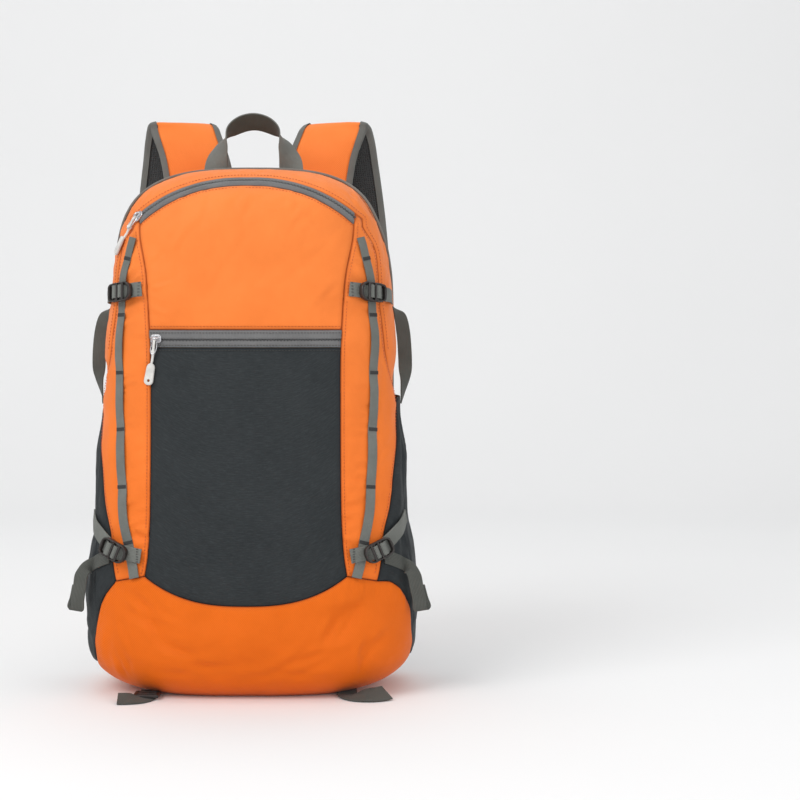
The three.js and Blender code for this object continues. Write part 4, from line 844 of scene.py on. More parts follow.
def zip_coils():
    u = np.linspace(-0.97, 0.985, 90)
    z = mix(POCKET_ZIP_BOTTOM, POCKET_ZIP_TOP, 0.44)
    points, normals = skin(face_point(u * front_seam_x(z), z + 0 * u, -1), -0.7)
    settle(zip_coil("pocket_zipper_coil", points, normals, 2.0), "zip_tape")
    u = np.linspace(-1, 1, 160)
    points, normals = skin(face_point(u * ARCH_HALF, mix(arch_inner(u), arch_outer(u), 0.53), -1), 0.1)
    settle(zip_coil("main_zipper_coil", points, normals, 2.4), "zip_tape")


def strip_rows(count):
    """Heights of a side strip's inner and outer seams, row by row."""
    inner = np.concatenate([np.linspace(STRIP_BOTTOM, STRIP_TOP, count), [arch_outer(1.0)]])
    share = (inner - STRIP_BOTTOM) / (SIDE_POCKET_TOP - STRIP_BOTTOM)
    low = mix(STRIP_BOTTOM - STRIP_DROP, SIDE_POCKET_TOP, share)
    outer = np.where(inner < SIDE_POCKET_TOP, low, inner)
    outer[-1] = STRIP_TOP + STRIP_DROP
    return inner, outer


def strip_point(inner, outer, share, side):
    turn = mix(front_seam_turn(inner), side_seam_turn(outer), share)
    return side_point(mix(inner, outer, share), turn, side)


# where the daisy chain is sewn down, from the foot up
TACK_HEIGHTS = 426.0 - 54.6 * np.arange(5.0, -1.0, -1.0)


def side_strip(side, word):
    inner, outer = strip_rows(140)
    grid = strip_point(inner[:, None], outer[:, None], shares(44)[None, :], side)
    sew(f"{word}_front_strip", "orange_cloth", grid, 20 + side,
        rows=STRIP_CREASES, pucker=0.8, swell=0.5)
    # webbing sewn down at tacks, standing a little proud between them
    inner, outer = strip_rows(220)
    keep = outer < 447
    inner, outer = inner[keep], outer[keep]
    height = mix(inner, outer, 0.5)
    start, end = front_seam_turn(inner), side_seam_turn(outer)
    turn = turn_of(read_rows(DAISY_ROWS, 1, height / BODY_HEIGHT) * BODY_HALF_WIDTH, height)
    middle = (turn - start) / (end - start)
    base = strip_point(inner, outer, np.clip(middle, 0.14, 0.86), side)
    lengths = lengths_along(base)
    tacks = np.interp(TACK_HEIGHTS, height, lengths)
    near = np.min(np.abs(lengths[:, None] - tacks[None, :]), axis=1)
    rise = 1.5 * (1 - np.exp(-((near / 13) ** 2))) + 0.25 * noise(lengths / 30 + side, lengths * 0)
    points, normals = skin(base, 1.15 + rise)
    across = unit(np.cross(tangents(points), normals))
    piece = web(f"{word}_daisy_webbing", points, across, DAISY_WIDTH, 1.2, WEB, wobble=0.5)
    settle(piece, "webbing", f"{word}_daisy_chain")
    lines = []
    for place in tacks:
        k = int(np.argmin(np.abs(lengths - place)))
        lines += tack(points[k] + normals[k] * 0.75, tangents(points)[k], across[k], normals[k], 9.4, 2.0)
    settle(stitches(f"{word}_daisy_tacks", lines, THREAD_GREY, 2.0, 1.9, 0.42), "webbing")


def side_edge(along, side):
    return read_rows(SIDE_EDGE_ROWS, 1 if side < 0 else 2, along) * POCKET_FLOOR


def side_grid(along, v, side):
    z = mix(side_edge(along, side), SIDE_POCKET_TOP, v)
    return side_point(z, mix(side_seam_turn(z), back_seam_turn(z), along), side)


def pocket_hollow(along, z, bottom):
    v = np.minimum((z - bottom) / (SIDE_POCKET_TOP - bottom), 1)
    slack = (0.55 * v + 0.62 * np.sin(np.pi * v)) * np.sin(np.pi * along)
    fade = 1 - smooth_step(SIDE_POCKET_TOP, SIDE_POCKET_TOP + SLACK_FADE, z)
    return (WEBBING + CLEAR + slack * SIDE_SLACK) * fade


def side_pocket(side, word):
    v = shares(230)[:, None]
    along = shares(130)[None, :]
    grid = side_grid(along, v, side)
    flare = SIDE_FLARE * v**2 * np.sin(np.pi * along) + 0 * grid[..., 0]
    # the elastic hem gathers the cloth below it
    gather = 0.9 * noise(along * 17 + side, v * 1.5) * np.exp(-(((1 - v) / 0.10) ** 2)) * np.sin(np.pi * along)
    rows = [(s * (1 if side > 0 else -1), *rest) for s, *rest in SIDE_CREASES]
    sew(f"{word}_side_pocket", "dark_cloth", grid, 30 + side,
        lift=flare + gather, rows=rows, pucker=0.6, borders="lrb")
    coarse_v, coarse = np.linspace(0, 1, 40)[:, None], np.linspace(0, 1, 26)[None, :]
    inner = side_grid(coarse, coarse_v, side)
    hollow = -pocket_hollow(coarse, inner[..., 2], side_edge(coarse, side))
    sew(f"{word}_side_panel", "orange_cloth", inner, 32 + side, lift=hollow,
        pucker=0.2)


def gusset_line(step):
    """Stations from one pocket mouth over the top to the other: x and z of the strip and arch seams."""
    z = np.concatenate([np.linspace(SIDE_POCKET_TOP, STRIP_TOP, int(170 / step)), [STRIP_TOP + STRIP_DROP]])
    x = read_rows(SIDE_SEAM_ROWS, 1, z / BODY_HEIGHT) * section_at(z)[0]
    u = np.linspace(-1, 1, int(220 / step))
    side = np.stack([x, z], axis=1)
    arch = np.stack([-u * ARCH_HALF, arch_outer(u)], axis=1)
    left = side[::-1] * (-1, 1)
    return np.concatenate([side, arch, left])


def station_point(x, z, turn):
    side = np.where(x < 0, -1, 1)
    low = side_point(z, turn, side)
    high = cap_point(cap_angle(x, z), turn, side)
    return np.where((round_share(z) == 0)[..., None], low, high)


def top_gusset():
    line = gusset_line(STEP)
    x, z = line[:, 0][None, :], line[:, 1][None, :]
    share = shares(80)[:, None]
    turn = mix(turn_of(x, z), back_seam_turn(z), share)
    grid = station_point(*np.broadcast_arrays(x, z, turn))
    hollow = -pocket_hollow(share, z, 0) * np.ones_like(grid[..., 0])
    sew("top_gusset", "orange_cloth", grid, 40, lift=hollow, rows=GUSSET_CREASES,
        pucker=0.6, swell=0.8)


def back_panels():
    line = gusset_line(STEP)
    x, z = line[:, 0][None, :], line[:, 1][None, :]
    turn = mix(back_seam_turn(z), BACK_SEAM_ANGLE, shares(30)[:, None])
    wrap = station_point(*np.broadcast_arrays(x, z, turn))
    share = shares(150)[1:, None]
    ends = wrap[-1]
    place = lengths_along(line)
    target = mix(0.8, -0.8, place / place[-1])[None, :] * ends[0, 0]
    face = face_point(mix(ends[None, :, 0], target, share), mix(ends[None, :, 2], SIDE_POCKET_TOP, share), 1)
    yoke = np.concatenate([wrap, face])
    sew("back_yoke", "orange_cloth", yoke, 50, rows=YOKE_CREASES)
    v = shares(255)[:, None]
    edge = side_grid(np.ones_like(v), v, 1)
    u = np.sin(np.linspace(-1, 1, 110) * math.pi / 2)[None, :]
    grid = face_point(u * edge[..., 0], edge[..., 2] + 0 * u, 1)
    sew("back_panel", "dark_cloth", grid, 51, rows=YOKE_CREASES)


def ring_point(angle, z):
    z = np.broadcast_to(z, angle.shape)
    wide, _, ridge, _ = section_at(z)
    reach = reach_of(z, np.sin(angle))

    def at(size):
        return np.stack([size * wide * np.cos(angle), ridge + size * reach * np.sin(angle), z], axis=-1)

    low, high = np.zeros_like(angle), np.full_like(angle, 1.2)
    for _ in range(30):
        middle = (low + high) / 2
        inside = body_field(at(middle)) < 1
        low, high = np.where(inside, middle, low), np.where(inside, high, middle)
    return at(low)


def bottom_panel():
    u = np.linspace(-1, 1, 90)
    front = face_point(u * front_seam_x(STRIP_BOTTOM), pocket_floor(u), -1)
    strip = [strip_point(STRIP_BOTTOM, STRIP_BOTTOM - STRIP_DROP, np.linspace(0, 1, 20)[1:], side)
             for side in (1, -1)]
    flank = [side_grid(np.linspace(0, 1, 60)[1:], 0.0, side) for side in (1, -1)]
    edge = side_grid(1.0, 0.0, 1)
    back = face_point(np.sin(np.linspace(1, -1, 90)[1:-1] * math.pi / 2) * edge[0], edge[2], 1)
    rim = np.concatenate([front, strip[0], flank[0], back, flank[1][::-1], strip[1][::-1][:-1]])
    ridge = section_at(rim[:, 2])[2]
    reach = reach_of(rim[:, 2], rim[:, 1] - ridge)
    angle = np.arctan2((rim[:, 1] - ridge) / reach, rim[:, 0] / section_at(rim[:, 2])[0])
    rings = [rim] + [ring_point(angle, rim[:, 2] * (1 - share)) for share in np.linspace(0, 1, 42)[1:]]
    pole = np.array([10.0, 13.0, 0.0])
    rings += [mix(rings[-1], pole, share) for share in (0.04, 0.1, 0.2, 0.35, 0.5, 0.7, 0.85, 1.0)]
    grid = np.stack(rings)
    down = flat_lengths(grid)[1]
    lift = 0.9 * noise(grid[..., 0] / 42, grid[..., 2] / 20 + 5) * smooth_step(4, 30, grid[..., 2])
    lift = lift - 1.0 * np.exp(-((down / 1.6) ** 2)) - 0.4 * np.exp(-((down / 5.5) ** 2))
    lift = lift + 0.5 * noise(angle[None, :] * 60, down / 26) * np.exp(-(((down - 6) / 9) ** 2))
    fade = smooth_step(8, 30, grid[..., 2])
    lift = lift + creases(grid[..., 0], grid[..., 2], [
        (92, 84, 8, 8, 40, 12, 22, 4.0, 1.6, 5), (-96, 82, 8, 8, 140, 12, 22, 4.0, 1.6, 5),
        (60, 40, 16, 10, 20, 16, 24, 5.0, 1.0, 5), (-60, 40, 16, 10, 160, 16, 24, 5.0, 1.0, 5),
        (120, 50, 8, 12, 70, 14, 18, 3.6, 1.4, 5), (-120, 50, 8, 12, 110, 14, 18, 3.6, 1.4, 5),
        (0, 30, 40, 6, 2, 8, 40, 5.0, 0.8, 5),
    ], 61) * fade
    outer, normal = skin(grid, lift)
    # flat coordinates for the grain: the front view's own, with a share of the depth added
    uv = np.stack([grid[..., 0], grid[..., 2] - grid[..., 1] * 0.4], axis=-1)
    piece = shell("bottom_panel_cloth", outer, normal, BASE, uv, down, ring=True)
    settle(piece, "base_cloth", "bottom_panel")


def back_piping():
    lower = [side_grid(1.0, np.linspace(0, 1, 90)[:-1], side) for side in (1, -1)]
    line = gusset_line(STEP)
    top = station_point(line[:, 0], line[:, 1], back_seam_turn(line[:, 1]))
    seam = np.concatenate([lower[0], top, lower[1][::-1]])
    points, normals = skin(seam, 1.3)
    points, normals = resample(points, 3.0, normals)
    piece = tube("back_piping_cord", points, unit(normals), 1.5, PIPING, 10)
    settle(piece, "piping", "back_piping")


def seam_stitches():
    """Topstitching beside the seams of the front, the strips and the gusset."""
    lines = []

    def add(points, lift=0.35):
        lines.append(skin(points, lift))

    z = np.linspace(STRIP_BOTTOM + 3, STRIP_TOP, 200)
    for side, _ in SIDES:
        add(face_point(side * (front_seam_x(z) + 3.2), z, -1))
        turn = side_seam_turn(z)
        add(side_point(z, turn - 3.2, side))
    u = np.linspace(-0.97, 0.97, 120)
    add(face_point(u * front_seam_x(POCKET_ZIP_TOP + 3), POCKET_ZIP_TOP + 3.2 + 0 * u, -1))
    add(face_point(u * ARCH_HALF, arch_inner(u) - 3.2, -1))
    line = gusset_line(4)
    turn = turn_of(line[:, 0], line[:, 1])
    hollow = -pocket_hollow(0.03, line[:, 1], 0)
    points, normals = skin(station_point(line[:, 0], line[:, 1], turn + 3.0), hollow + 0.6)
    lines.append((points[12:-12], normals[12:-12]))
    settle(stitches("orange_stitching", lines, THREAD, 3.2, 2.4, 0.3), "orange_cloth")
    lines = []
    u = np.linspace(-0.98, 0.98, 120)
    add(face_point(u * front_seam_x(POCKET_ZIP_BOTTOM), POCKET_ZIP_BOTTOM - 2.6 + 0 * u, -1), 0.7)
    add(face_point(u * front_seam_x(POCKET_ZIP_BOTTOM), POCKET_ZIP_BOTTOM + 2.2 + 0 * u, -1), 0.4)
    add(face_point(u * front_seam_x(POCKET_ZIP_BOTTOM), POCKET_ZIP_TOP - 3.0 + 0 * u, -1), 1.9)
    settle(stitches("pocket_stitching", lines, THREAD_GREY, 3.0, 2.2, 0.28), "zip_tape")


front_panels()
zip_coils()
for side, word in SIDES:
    side_strip(side, word)
    side_pocket(side, word)
top_gusset()
back_panels()
bottom_panel()
back_piping()
seam_stitches()

# Compression straps: up and the share of the way from the front seam to the ridge, at the start, buckle and end
STRAP_ROWS = {
    "upper": ((0.768, 0.04), (0.761, 0.30), (0.752, 0.96)),
    "lower": ((0.274, 0.04), (0.282, 0.26), (0.338, 0.80)),
}


def seat_at(z, turn, side, lift):
    """Lifted points of the side, their normals and the directions up the body."""
    points, normals = skin(side_point(z, turn, side))
    up = unit(np.array([0, 0, 1.0]) - normals * normals[..., 2:])
    return points + normals * np.asarray(lift)[..., None], normals, up


def strap_line(rows, t):
    turns = [float(front_seam_turn(up * BODY_HEIGHT)) * (1 - past) for up, past in rows]
    heights = [up * BODY_HEIGHT for up, _ in rows]
    places = (0, BUCKLE_SHARE, 1)
    return np.interp(t, places, heights), np.interp(t, places, turns)


def plate(name, outline, holes, thickness, finish, bevel=0.7):
    """Moulded plate from a curve with holes, rounded at its edges, lying in XY with its back at z 0."""
    shape = bpy.data.curves.new(name, "CURVE")
    shape.dimensions = "2D"
    shape.fill_mode = "BOTH"
    shape.extrude = (thickness / 2 - bevel) * MM
    shape.bevel_depth = bevel * MM
    shape.bevel_resolution = 3
    shape.offset = -bevel * MM
    for points in (outline, *holes):
        spline = shape.splines.new("POLY")
        spline.points.add(len(points) - 1)
        for point, (x, y) in zip(spline.points, points):
            point.co = (x * MM, y * MM, 0, 1)
        spline.use_cyclic_u = True
    holder = bpy.data.objects.new(name + "_curve", shape)
    bpy.context.scene.collection.objects.link(holder)
    mesh = bpy.data.meshes.new_from_object(holder.evaluated_get(bpy.context.evaluated_depsgraph_get()))
    bpy.data.objects.remove(holder)
    coords = np.empty(len(mesh.vertices) * 3)
    mesh.vertices.foreach_get("co", coords)
    coords = coords.reshape(-1, 3)
    coords[:, 2] += thickness / 2 * MM
    mesh.vertices.foreach_set("co", coords.ravel())
    mesh.materials.clear()
    mesh.materials.append(finish)
    mesh.shade_smooth()
    mesh.set_sharp_from_angle(angle=math.radians(50))
    piece = bpy.data.objects.new(name, mesh)
    bpy.context.scene.collection.objects.link(piece)
    return piece


def oval(length, width, radius, at=(0.0, 0.0)):
    """Points of a rounded rectangle."""
    x, y = length / 2 - radius, width / 2 - radius
    points = []
    for cx, cy, start in ((x, y, 0), (-x, y, 90), (-x, -y, 180), (x, -y, 270)):
        for k in range(9):
            angle = math.radians(start + 90 * k / 8)
            points.append((at[0] + cx + radius * math.cos(angle), at[1] + cy + radius * math.sin(angle)))
    return points


def stand(piece, middle, along, normal):
    """Moves a piece drawn at the origin to its place, with its X along and its Z on the normal."""
    along = unit(along - normal * (along @ normal))
    across = np.cross(normal, along)
    rows = [[along[k], across[k], normal[k], middle[k] * MM] for k in range(3)]
    piece.data.transform(Matrix([*rows, [0, 0, 0, 1]]))


def join(name, pieces):
    """Makes one piece out of several, keeping their materials."""
    vertices, faces, slots, uvs = [], [], [], []
    materials = []
    for piece in pieces:
        mesh = piece.data
        first = len(vertices)
        vertices += [tuple(v.co) for v in mesh.vertices]
        for material in mesh.materials:
            if material not in materials:
                materials.append(material)
        layer = mesh.uv_layers.active
        for face in mesh.polygons:
            faces.append([first + i for i in face.vertices])
            slots.append(materials.index(mesh.materials[face.material_index]))
            uvs += [tuple(layer.data[i].uv) if layer else (0.0, 0.0) for i in face.loop_indices]
        bpy.data.objects.remove(piece)
    mesh = bpy.data.meshes.new(name)
    mesh.from_pydata(vertices, [], faces)
    mesh.uv_layers.new(name="flat").data.foreach_set("uv", np.array(uvs).ravel())
    for material in materials:
        mesh.materials.append(material)
    mesh.polygons.foreach_set("material_index", slots)
    mesh.shade_smooth()
    mesh.set_sharp_from_angle(angle=math.radians(45))
    piece = bpy.data.objects.new(name, mesh)
    bpy.context.scene.collection.objects.link(piece)
    return piece


def bar(name, start, end, radius, finish, flat=1.0):
    """Straight rounded bar."""
    points = np.linspace(start, end, 3)
    return tube(name, points, np.tile((0, 0, 1.0), (3, 1)), radius, finish, 10, flat)


def strap_buckle(name, middle, along, normal):
    """Ladder buckle 32 mm long: an oval frame, cross bars and the webbing that goes over and under them."""
    frame_plate = plate(name + "_frame", oval(32, 18.5, 8.2), [
        oval(9.4, 13.6, 2.6, (-8.4, 0)), oval(5.4, 14.0, 1.2, (0.2, 0)), oval(9.6, 13.2, 4.6, (8.9, 0)),
    ], 5.6, BUCKLE, 1.6)
    rows = ((-3.6, 5.0, 1.3, 0.8), (3.9, 5.0, 1.3, 0.8), (0.2, 6.9, 1.0, 1.0), (7.6, 6.3, 1.3, 0.9))
    bars = [bar(name + "_bar", (x, -8.2, z), (x, 8.2, z), r, BUCKLE, flat) for x, z, r, flat in rows]
    piece = join(name + "_body", [frame_plate, *bars])
    stand(piece, middle, along, normal)
    settle(piece, "buckle_plastic", name)
    # the webbing comes up through the first window, over the bars and down through the last
    line = [(-13.0, 0.6), (-10.5, 1.4), (-8.0, 4.4), (-5.6, 7.0), (-3.6, 7.6), (-1.6, 6.4), (0.2, 3.4),
            (2.0, 6.4), (3.9, 7.5), (5.6, 6.2), (7.4, 3.8), (10.4, 1.2), (13.0, 0.8)]
    points = curve([(x, 0, z) for x, z in line], 50)
    loop = web(name + "_webbing", points, np.tile((0, 1.0, 0), (len(points), 1)), 12.4, 1.2, WEB, pitch=1.2)
    stand(loop, middle, along, normal)
    settle(loop, "webbing")


def compression_straps(side, word):
    for level, rows in STRAP_ROWS.items():
        t = np.linspace(0, 1, 60)
        z, turn = strap_line(rows, t)
        rise = WEBBING + 2 * CLEAR
        over = smooth_step(-0.1, 0.12, t) * (1 - smooth_step(0.75, 1, t))
        points, normals, up = seat_at(z, turn, side, STRAP_LIFT + WEBBING / 2 + over * rise)
        piece = web(f"{word}_{level}_strap_webbing", points, up, STRAP_WIDTH, WEB_DRAWN, WEB, pitch=1.6,
                    wobble=0.3)
        settle(piece, "webbing", f"{word}_{level}_strap")
        lines = []
        for place in (0.035, 0.06):
            k = int(place * 59)
            ends = points[k] + normals[k] * 0.75 + up[k] * np.array([[-6.0], [6.0]])
            lines.append((ends, np.array([normals[k]] * 2)))
        settle(stitches(f"{word}_{level}_strap_stitches", lines, THREAD_GREY, 2.4, 1.8, 0.35), "webbing")
        z, turn = strap_line(rows, BUCKLE_SHARE + np.array([-0.1, 0.0, 0.1]))
        points, normals, up = seat_at(z, turn, side, np.full(3, STRAP_LIFT + WEBBING / 2 + rise))
        middle = points[1] + normals[1] * (WEBBING / 2 + CLEAR)
        strap_buckle(f"{word}_{level}_buckle", middle, unit(points[0] - points[2]), normals[1])


# down from the upper strap to the pocket mouth, out, forward, and how far the webbing swings out
UPPER_TAIL_ROWS = [
    (0.10, 0.11, 0.00, 0.02), (0.18, 0.14, 0.10, 0.70), (0.34, 0.13, 0.20, 0.98), (0.53, 0.14, 0.25, 1.00),
    (0.68, 0.15, 0.20, 0.95), (0.81, 0.32, 0.10, 0.52), (0.96, 0.25, 0.00, 0.22), (1.07, 0.20, 0.00, 0.00),
]
# up, out and forward of the hanging part, and up and turn where it lies on the side
LOWER_TAIL_ROWS = [(0.236, -0.22, 4.72), (0.208, -0.04, 4.50), (0.184, 0.12, 4.20), (0.165, 0.20, 4.05)]
LOWER_TAIL_SEATS = [(0.270, -44.0), (0.266, -40.0), (0.259, -34.0), (0.251, -28.0)]
LOWER_TAIL_SPREAD = 4.0


def strap_tails(side, word):
    middles, acrosses = [], []
    for fall, out, forward, swing in UPPER_TAIL_ROWS:
        z = np.array([mix(STRAP_ROWS["upper"][2][0] * BODY_HEIGHT, SIDE_POCKET_TOP, fall)])
        base = skin(side_point(z, np.zeros(1), side))[0][0]
        middles.append(base + (side * STRAP_WIDTH * (out + 0.5 * swing), -forward * STRAP_WIDTH, 0))
        acrosses.append((side * swing, 1 - swing * 0.8, 0))
    # painted shade: the upper tail is drawn in the darker copy of the webbing
    piece = web(f"{word}_upper_tail_webbing", curve(middles, 60), curve(acrosses, 60), STRAP_WIDTH, WEB_DRAWN,
                WEB_PAINTED_SHADE, pitch=1.8)
    settle(piece, "webbing", f"{word}_upper_tail")
    seats = [seat_at(np.array([up * BODY_HEIGHT]), np.array([turn]), side, [STRAP_LIFT + WEBBING / 2])
             for up, turn in LOWER_TAIL_SEATS]
    middles = [seat[0][0] for seat in seats]
    acrosses = [seat[2][0] for seat in seats]
    hang = []
    for up, out, forward in LOWER_TAIL_ROWS:
        base = side_point(np.array([up * BODY_HEIGHT]), np.zeros(1), side)[0]
        hang.append(base + (side * out * STRAP_WIDTH, -forward * STRAP_WIDTH, 0))
    gap = 2.2 * WEBBING
    back = [point + (side * LOWER_TAIL_SPREAD / (k + 1), gap, 0.3 * gap) for k, point in enumerate(hang[:0:-1])]
    turned = np.array((side * 0.95, 0.30, 0.10))
    fold = hang[-1] + np.array((side * LOWER_TAIL_SPREAD / 2, gap * 0.5, -1.6))
    middles += hang + [fold] + back
    acrosses += [turned] * (len(middles) - len(acrosses))
    piece = web(f"{word}_lower_tail_webbing", curve(middles, 120), curve(acrosses, 120), STRAP_WIDTH, WEB_DRAWN,
                WEB_LINED, pitch=1.2, square=False)
    settle(piece, "webbing", f"{word}_lower_tail")


# out, up and tilt in degrees, from a foot to the middle of the arch
HANDLE_ROWS = [
    (1.00, 0.01, 0.0), (0.97, 0.20, 26.0), (0.87, 0.42, 48.0), (0.77, 0.60, 62.0), (0.62, 0.76, 76.0),
    (0.34, 0.90, 88.0), (0.00, 0.955, 90.0),
]


def grab_handle():
    z = np.array([float(arch_outer(0.0))])
    seam_y = station_point(np.zeros(1), z, back_seam_turn(z))[0][1]
    depth, foot, fall = seam_y + HANDLE_BEHIND, BODY_HEIGHT - 0.6, math.radians(40)
    lean = np.array((0, -math.cos(fall), math.sin(fall)))
    half, across = [], []
    for out, rise, tilt in HANDLE_ROWS:
        angle = math.radians(tilt)
        half.append(np.array((-out * HANDLE_HALF_SPAN, depth + rise * 2, foot + rise * HANDLE_RISE)))
        across.append(np.array((math.cos(angle), 0, 0)) + lean * math.sin(angle))
    middles = half + [p * (-1, 1, 1) for p in half[-2::-1]]
    acrosses = across + [a * (-1, 1, 1) for a in across[-2::-1]]
    piece = web("grab_handle_webbing", curve(middles, 90), curve(acrosses, 90), HANDLE_WIDTH, WEBBING, WEB,
                pitch=2)
    # painted shade: the faces that look down into the arch get the darker copy of the webbing
    piece.data.materials.append(WEB_SHADE)
    middle = Vector((0, depth, foot + 20.0)) * MM
    for face in piece.data.polygons:
        face.material_index = int(face.normal.dot((middle - face.center).normalized()) > 0.4)
    settle(piece, "webbing", "grab_handle")


# out, up, behind, wide and thick of the shoulder straps
SHOULDER_ROWS = np.array([
    (0.365, 0.937, 1.080, 1.00, 0.45), (0.375, 0.983, 1.090, 1.00, 0.90), (0.405, 1.033, 1.110, 1.00, 1.00),
    (0.450, 1.073, 1.160, 1.00, 1.00), (0.487, 1.099, 1.270, 1.00, 1.00), (0.515, 1.074, 1.390, 1.00, 1.00),
    (0.545, 1.008, 1.480, 1.00, 1.00), (0.590, 0.907, 1.530, 0.98, 1.00), (0.630, 0.786, 1.530, 0.94, 1.00),
    (0.660, 0.645, 1.480, 0.88, 1.00), (0.665, 0.524, 1.400, 0.80, 0.95), (0.655, 0.443, 1.330, 0.66, 0.80),
    (0.650, 0.418, 1.310, 0.50, 0.55),
])


def shoulder_line(side):
    return [np.array((side * out * BODY_HALF_WIDTH, behind * BODY_BACK, up * BODY_HEIGHT))
            for out, up, behind in SHOULDER_ROWS[:, :3]]


def shoulder_frames(side, count):
    middles = curve(shoulder_line(side), count)
    at = np.linspace(0, 1, count) * (len(SHOULDER_ROWS) - 1)
    index = np.arange(len(SHOULDER_ROWS))
    half = np.interp(at, index, SHOULDER_ROWS[:, 3]) * PAD_HALF_WIDTH
    thick = np.interp(at, index, SHOULDER_ROWS[:, 4]) * PAD_HALF_THICKNESS
    along = tangents(middles)
    across = np.array([1.0, 0, 0]) - along * along[:, :1]
    across[:, 2] *= 1 - smooth_step(0.97, 1.03, middles[:, 2] / BODY_HEIGHT)
    # evened out along the strap, so that the binding doesn't bunch up at the fold
    padded = np.pad(across, ((6, 6), (0, 0)), mode="edge")
    window = np.ones(13) / 13
    across = unit(np.stack([np.convolve(padded[:, k], window, mode="valid") for k in range(3)], axis=1))
    return middles, across, np.cross(along, across), half, thick


def shoulder_strap(side, word):
    middles, across, normal, half, thick = shoulder_frames(side, 230)
    angles = np.linspace(0, 2 * math.pi, 64, endpoint=False)
    lengths = lengths_along(middles)
    loops, uv = [], []
    for p, b, n, w, h, length in zip(middles, across, normal, half, thick, lengths):
        c, s = np.cos(angles), np.sin(angles)
        x = np.sign(c) * np.abs(c) ** 0.55 * (w - 0.6)
        face = np.sign(s) * np.abs(s) ** 0.42
        edge = np.clip((w - np.abs(x)) / 8, 0, 1)
        y = face * (h * (0.55 + 0.45 * smooth_step(0, 1, edge)))
        ripple = 0.35 * noise(x / 13 + side * 3, np.full_like(x, length / 19))
        ripple = ripple + 0.2 * noise(x / 5, x * 0 + length / 7)
        y = y + np.sign(s) * ripple * np.abs(s)
        loops.append(p + b * x[:, None] + n * y[:, None])
        uv += [(value, length) for value in x]
    piece = loft(f"{word}_shoulder_strap_pad", loops, STRAP_CLOTH, uv)
    piece.data.materials.append(MESH)
    # the inner face, towards the back, is mesh
    inner = np.array([[face.center[k] for k in range(3)] for face in piece.data.polygons]) / MM
    nearest = np.argmin(np.linalg.norm(inner[:, None, :] - middles[None, ::3, :], axis=2), axis=1) * 3
    facing = np.array([[face.normal[k] for k in range(3)] for face in piece.data.polygons])
    inside = np.sum(facing * normal[nearest], axis=1) > 0.25
    piece.data.polygons.foreach_set("material_index", inside.astype(np.int32))
    settle(piece, "strap_cloth", f"{word}_shoulder_strap")
    for end in (-1, 1):
        # binding tape folded over the edge
        profile = [
            (-5.6, 1.0, 0.55), (-5.6, 1.0, 0.95), (-2.0, 1.0, 1.05), (-0.2, 0.8, 1.0), (0.9, 0.35, 0.8),
            (1.1, 0.0, 0.0), (0.9, -0.35, -0.8), (-0.2, -0.8, -1.0), (-2.0, -1.0, -1.05), (-5.6, -1.0, -0.95),
            (-5.6, -1.0, -0.55), (-2.0, -0.8, 0.0), (0.0, 0.0, 0.0), (-2.0, 0.8, 0.0),
        ]
        loops, uv = [], []
        for p, b, n, w, h, length in zip(middles, across, normal, half, thick, lengths):
            ring = []
            for out, up, extra in profile:
                x = w + out
                rise = up * h * (0.55 + 0.45 * float(smooth_step(0, 1, min(max(-out / 8, 0), 1)))) + extra
                ring.append(p + b * end * x + n * rise)
                uv.append((out + (20 if up < 0 else 0), length))
            loops.append(ring)
        settle(loft(f"{word}_binding_{'inner' if end * side < 0 else 'outer'}", loops, BINDING, uv), "piping")


def lower_webbing(side, word):
    above, end = shoulder_line(side)[-2:]
    along = unit(end - above)
    across = unit(np.array([1.0, 0, 0]) - along * along[0])
    normal = np.cross(along, across)
    middle = end + along * (LOCK_LENGTH / 2 + CLEAR)
    slits = [oval(4.4, 20, 1.5, (-6.4, 0)), oval(4.4, 20.6, 1.5, (0.2, 0)), oval(4.4, 20, 1.5, (6.8, 0))]
    lock = plate(f"{word}_ladder_lock_frame", oval(LOCK_LENGTH, 27, 4), slits, 4.4, BUCKLE, 1.0)
    stand(lock, middle - normal * LOCK_SINK, along, normal)
    settle(lock, "buckle_plastic", f"{word}_ladder_lock")
    anchor_height = float(side_edge(1.0, side)) + LOWER_WEBBING_WIDTH
    face = face_point(np.array([side * 118.0] * 2), np.array([2 * anchor_height, anchor_height]), 1)
    points, _ = skin(face, np.array([9.0, CLEAR + WEBBING / 2]))
    start = middle - normal * (LOCK_SINK + CLEAR + WEBBING / 2)
    chosen = [start - along * 0.4 * LOCK_LENGTH, start + along * 0.5 * LOCK_LENGTH, points[0], points[1]]
    piece = web(f"{word}_lower_strap_webbing_back", curve(chosen, 80), np.tile(across, (80, 1)),
                LOWER_WEBBING_WIDTH, WEB_DRAWN, WEB)
    settle(piece, "webbing", f"{word}_lower_webbing")


# across, behind and up in widths of the webbing, then its turn in degrees and its lean
LASH_ROWS = {
    "left": [
        (-4.84, -2.45, 0.180, 0, 0.0), (-4.86, -2.85, 0.060, 0, 0.0), (-4.90, -3.30, 0.060, 0, 0.0),
        (-5.00, -4.00, 0.115, -30, -0.12), (-5.30, -4.45, 0.195, -65, -0.28),
        (-5.75, -4.62, 0.225, -85, -0.36), (-6.17, -4.66, 0.225, -90, -0.36),
    ],
    "right": [
        (4.75, -2.20, 0.190, 0, 0.0), (4.80, -2.80, 0.080, 0, 0.0), (4.95, -3.45, 0.140, 30, 0.12),
        (5.35, -3.95, 0.240, 65, 0.38), (5.90, -4.10, 0.295, 85, 0.52), (6.40, -3.95, 0.305, 98, 0.54),
        (6.75, -3.70, 0.330, 108, 0.54),
    ],
}


